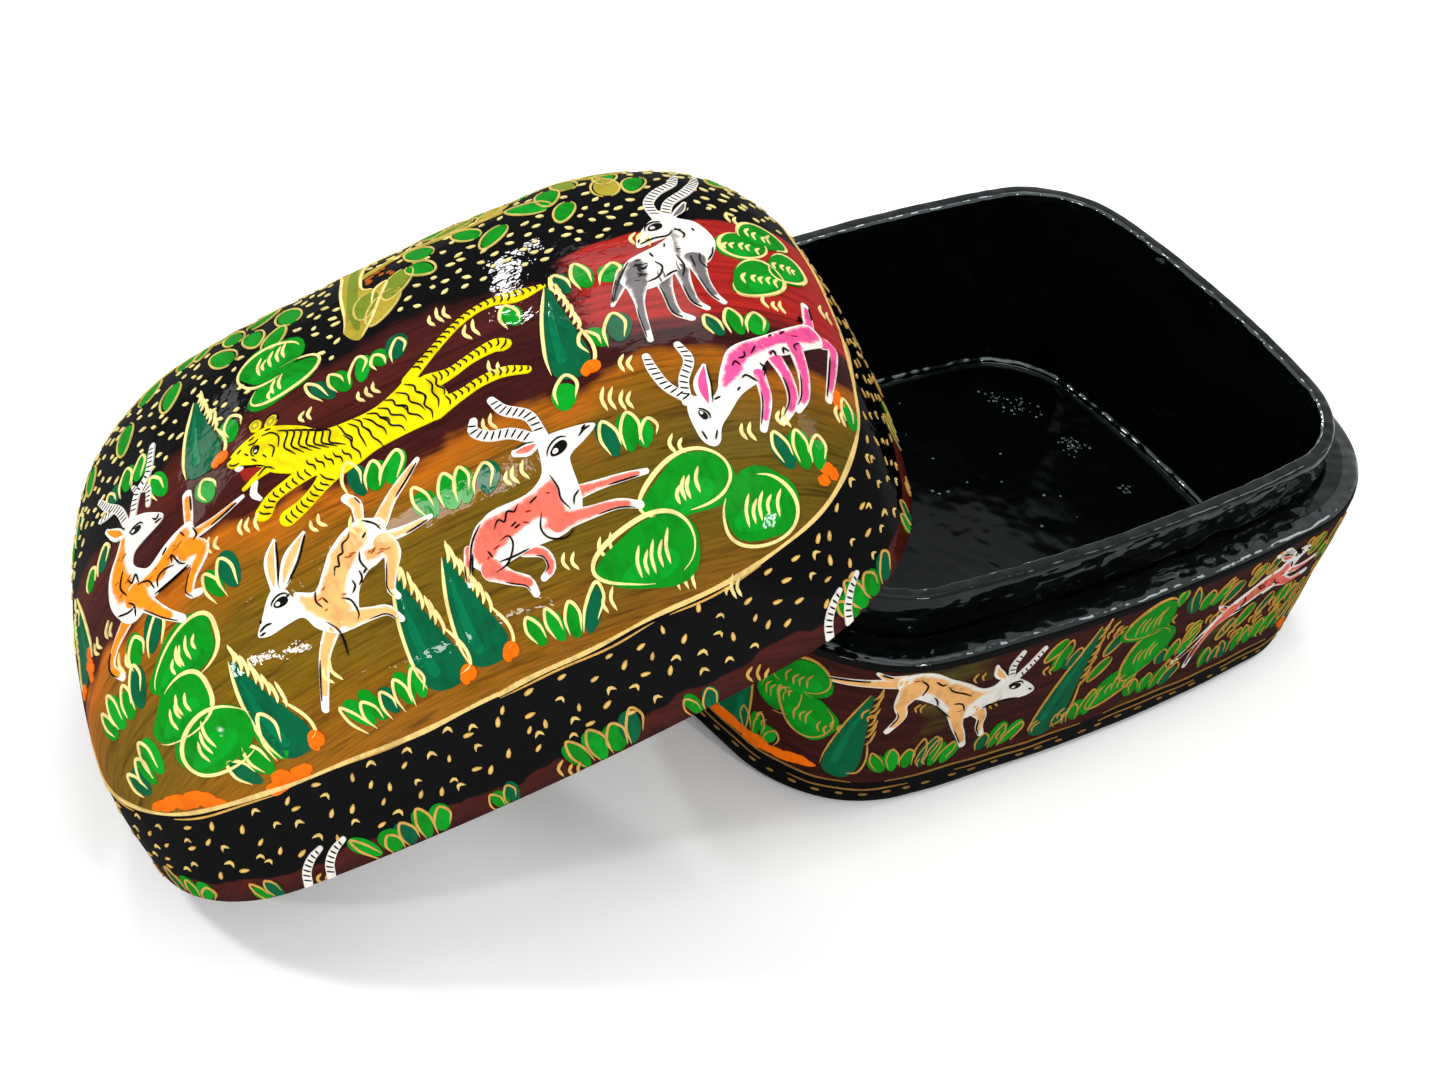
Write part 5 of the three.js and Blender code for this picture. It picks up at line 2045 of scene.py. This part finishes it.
def skirt_bands(shader, ground, height, wander, brush):
    """The black skirt under the gold line, and its maroon rim."""
    on_skirt = shader.step(height, border_height + 0.1, border_height - 0.1)
    ground = shader.mix(on_skirt, ground, linear(GROUNDS["night"]))
    rim_edge = shader.math("MULTIPLY_ADD", wander, 9.0, skirt_band - 4.8)
    on_rim = shader.step(shader.math("SUBTRACT", height, rim_edge), 0.25, -0.25)
    rim = shader.ramp(brush, [(0.3, linear((56, 18, 14))), (0.7, linear((88, 32, 24)))])
    return shader.mix(on_rim, ground, rim)


def base_ground_material():
    """The base's wall: maroon with streaks, black at the foot and at the ledge's edge."""
    shader = Shader("base_ground")
    place = shader.object_place()
    height = shader.node("ShaderNodeSeparateXYZ", Vector=place).outputs["Z"]
    brush = shader.noise(shader.scaled(place, (140, 140, 900)), 1.0, 5.0, 0.62)
    patch = shader.noise(place, 40.0, 3.0)
    # Maroon and olive are the wall's own paints, set darker than on the lid: partly painted shade of the
    # wall, which stands in shade.
    maroon = shader.ramp(brush, [(0.3, linear((38, 13, 11))), (0.6, linear((64, 23, 18))),
                                 (0.8, linear((88, 36, 26)))])
    olive = shader.ramp(brush, [(0.3, linear((50, 40, 14))), (0.7, linear((98, 82, 30)))])
    ground = shader.mix(shader.step(patch, 0.6, 0.68), maroon, olive)
    wobble = shader.math("MULTIPLY_ADD", brush, 0.0016, -0.0008)
    level = shader.math("ADD", height, wobble)
    night = linear(GROUNDS["night"])
    foot = shader.step(level, (wall_line + 0.2) * MM, (wall_line - 0.4) * MM)
    ground = shader.mix(foot, ground, night)
    edge = shader.step(level, (ledge_height - 2.2) * MM, (ledge_height - 1.6) * MM)
    ground = shader.mix(edge, ground, night)
    rough_normal = shader.bump(brush, 0.25, 0.00006)
    return shader.lacquer(ground, shader.shine(brush, 0.22, 0.36), rough_normal, clear_coat(shader, place))


# Black lacquers: depth of the runs and of the beads in metres, shine and haze
LACQUERS = {
    "black_lacquer": (0.0008, 0.00018, 0.2, 0.06),
    "black_edge": (0.0006, 0.0005, 1.0, 0.025),
    "black_lip": (0.0008, 0.0003, 0.48, 0.06),
    "black_inside": (0.0001, 0.0, 0.05, 0.05),
    "black_floor": (0.0005, 0.0001, 0.12, 0.12),
}


def black_lacquer_material(name):
    """Thick black lacquer with slow brushed runs and small beads."""
    runs_depth, beads_depth, gloss, dullness = LACQUERS[name]
    shader = Shader(name)
    place = shader.object_place()
    cloud = shader.noise(place, 60.0, 4.0)
    tone = shader.ramp(cloud, [(0.3, linear((2, 3, 3))), (0.7, linear((6, 8, 9)))])
    runs = shader.noise(shader.scaled(place, (0.6, 0.6, 1.6)), 190.0, 1.5, 0.4)
    beads = shader.noise(place, 430.0, 0.0, 0.5)
    waves = shader.bump(runs, 1.0, runs_depth)
    both = shader.bump(beads, 1.0, beads_depth, waves)
    shader.put(shader.surface.inputs["Base Color"], tone)
    shader.put(shader.surface.inputs["Roughness"], shader.shine(runs, dullness, dullness * 1.8, 0.35))
    shader.put(shader.surface.inputs["Normal"], both)
    shader.surface.inputs["Specular IOR Level"].default_value = gloss
    shader.surface.inputs["Specular Tint"].default_value = (0.84, 1.0, 1.0, 1)
    return shader.material


def seen_directly(tree):
    """1 for rays from the camera, a mirror or glass, and 0 for the light on dull surfaces."""
    rays = tree.nodes.new("ShaderNodeLightPath")
    share = rays.outputs["Is Camera Ray"]
    for name in ("Is Glossy Ray", "Is Transmission Ray"):
        either = tree.nodes.new("ShaderNodeMath")
        either.operation = "MAXIMUM"
        tree.links.new(share, either.inputs[0])
        tree.links.new(rays.outputs[name], either.inputs[1])
        share = either.outputs[0]
    return share


def floor_material():
    """A pale floor, whitest to the camera, that keeps the object's shadow and runs out into the white."""
    shader = Shader("floor_white")
    place = shader.object_place()
    grain = shader.noise(place, 90.0, 3.0)
    seen = shader.ramp(grain, [(0.3, grey(floor_seen)), (0.7, grey(floor_seen * 1.02))])
    direct = seen_directly(shader.tree)
    tone = shader.mix(direct, grey(floor_bounce), seen)
    shader.put(shader.surface.inputs["Base Color"], tone)
    shader.surface.inputs["Roughness"].default_value = 0.9
    shader.surface.inputs["Specular IOR Level"].default_value = 0.0
    away = shader.node("ShaderNodeVectorMath", Vector=place)
    away.operation = "LENGTH"
    far = shader.step(away.outputs["Value"], *floor_fade)
    white = shader.node("ShaderNodeEmission")
    both = shader.tree.nodes.new("ShaderNodeMixShader")
    shader.put(both.inputs[0], shader.math("MULTIPLY", far, direct))
    shader.put(both.inputs[1], shader.surface.outputs[0])
    shader.put(both.inputs[2], white.outputs[0])
    shader.put(shader.tree.nodes["Material Output"].inputs["Surface"], both.outputs[0])
    return shader.material


# Stage, light and camera

floor_seen = 1.2
floor_bounce = 0.35
floor_reach = 4.0
floor_fade = (0.3, 0.8)
world_strength = 0.27
image_width = 1448
focal_pixels = 3534.6
sensor_width = 36.0
principal_shift = (20.8, -29.3)
camera_azimuth = math.radians(-43.35)
camera_elevation = math.radians(39.13)
camera_roll = math.radians(12.63)
camera_distance = 0.59166
camera_target = Vector((-31.79, 12.79, 13.5)) * MM


def build_stage():
    """A wide floor."""
    mesh = bpy.data.meshes.new("floor")
    r = floor_reach
    mesh.from_pydata([(-r, -r, 0), (r, -r, 0), (r, r, 0), (-r, r, 0)], [], [(0, 1, 2, 3)])
    mesh.materials.append(floor_material())
    floor = bpy.data.objects.new("floor", mesh)
    bpy.context.collection.objects.link(floor)


def build_world():
    """White surroundings: full white to the camera, softer for the light on the object."""
    world = bpy.data.worlds.new("studio")
    bpy.context.scene.world = world
    world.use_nodes = True
    nodes, links = world.node_tree.nodes, world.node_tree.links
    background = nodes["Background"]
    background.inputs["Color"].default_value = (1, 1, 1, 1)
    level = nodes.new("ShaderNodeMapRange")
    level.inputs["To Min"].default_value = world_strength
    level.inputs["To Max"].default_value = 1.0
    links.new(seen_directly(world.node_tree), level.inputs["Value"])
    links.new(level.outputs["Result"], background.inputs["Strength"])


# Lights: shape, azimuth from the front, elevation, width, height and power.
# The photo's highlights give their places.
light_distance = 1.1
LIGHTS = {
    "top": ("RECTANGLE", 60, 78, 0.7, 0.7, 2.2),
    "front_panel": ("RECTANGLE", -20, 48, 0.7, 0.5, 1.3),
    "back_panel": ("RECTANGLE", 156, 37, 0.4, 0.3, 2.8),
    "right_panel": ("RECTANGLE", 76, 42, 0.34, 0.3, 2.9),
    "back_low": ("RECTANGLE", -163, 6, 0.3, 0.08, 0.7),
    "back_lamp": ("ELLIPSE", 172, 24.5, 0.08, 0.06, 2.5),
    "left_panel": ("RECTANGLE", -114, 48, 0.16, 0.16, 3.2),
    "left_low": ("ELLIPSE", -69, 9, 0.13, 0.08, 2.8),
    "left_middle": ("ELLIPSE", -79, 30, 0.06, 0.06, 1.5),
    "front_lamp": ("ELLIPSE", -46, 16, 0.15, 0.06, 2.0),
    "right_lamp": ("ELLIPSE", 5, 27, 0.08, 0.06, 1.9),
}


def build_lights():
    """Soft lights and small lamps round the object, aimed at it."""
    for name, (shape, azimuth, elevation, width, height, power) in LIGHTS.items():
        light = bpy.data.lights.new(name, "AREA")
        light.shape = shape
        light.size, light.size_y = width, height
        light.energy = power
        lamp = bpy.data.objects.new(name, light)
        bpy.context.collection.objects.link(lamp)
        away = direction(math.radians(azimuth), math.radians(elevation))
        lamp.location = camera_target + away * light_distance
        lamp.rotation_euler = (-away).to_track_quat("-Z", "Y").to_euler()


def direction(azimuth, elevation):
    """Unit vector away from the object: azimuth from the front to the right, elevation up."""
    level = math.cos(elevation)
    return Vector((math.sin(azimuth) * level, -math.cos(azimuth) * level, math.sin(elevation)))


def build_camera():
    """The photo's viewpoint."""
    away = direction(camera_azimuth, camera_elevation)
    camera = bpy.data.cameras.new("camera")
    camera.sensor_fit = "HORIZONTAL"
    camera.sensor_width = sensor_width
    camera.lens = focal_pixels / image_width * sensor_width
    camera.shift_x = -principal_shift[0] / image_width
    camera.shift_y = principal_shift[1] / image_width
    eye = bpy.data.objects.new("camera", camera)
    bpy.context.collection.objects.link(eye)
    turn = (-away).to_track_quat("-Z", "Y").to_matrix() @ Matrix.Rotation(camera_roll, 3, "Z")
    eye.matrix_world = Matrix.Translation(camera_target + away * camera_distance) @ turn.to_4x4()
    bpy.context.scene.camera = eye


def main():
    """Build the skins, the paint, the stage, the lights and the camera."""
    bpy.context.scene.view_settings.view_transform = "Standard"
    black, edge, lip, inside, board = [black_lacquer_material(name) for name in LACQUERS]
    build_lid_skin(lid_ground_material(), inside)
    build_base_skin(base_ground_material(), black, lip)
    build_liner_skin(black, edge, inside)
    build_floor_skin(board, edge)
    build_floor_drops(edge)
    tree(lid_paint)
    paint_lid_plants()
    paint_lid_beasts()
    paint_sky()
    paint_border()
    paint_skirt()
    paint_wall()
    for canvas in (lid_paint, skirt_paint, wall_paint):
        canvas.hang()
    build_stage()
    build_world()
    build_lights()
    build_camera()


main()
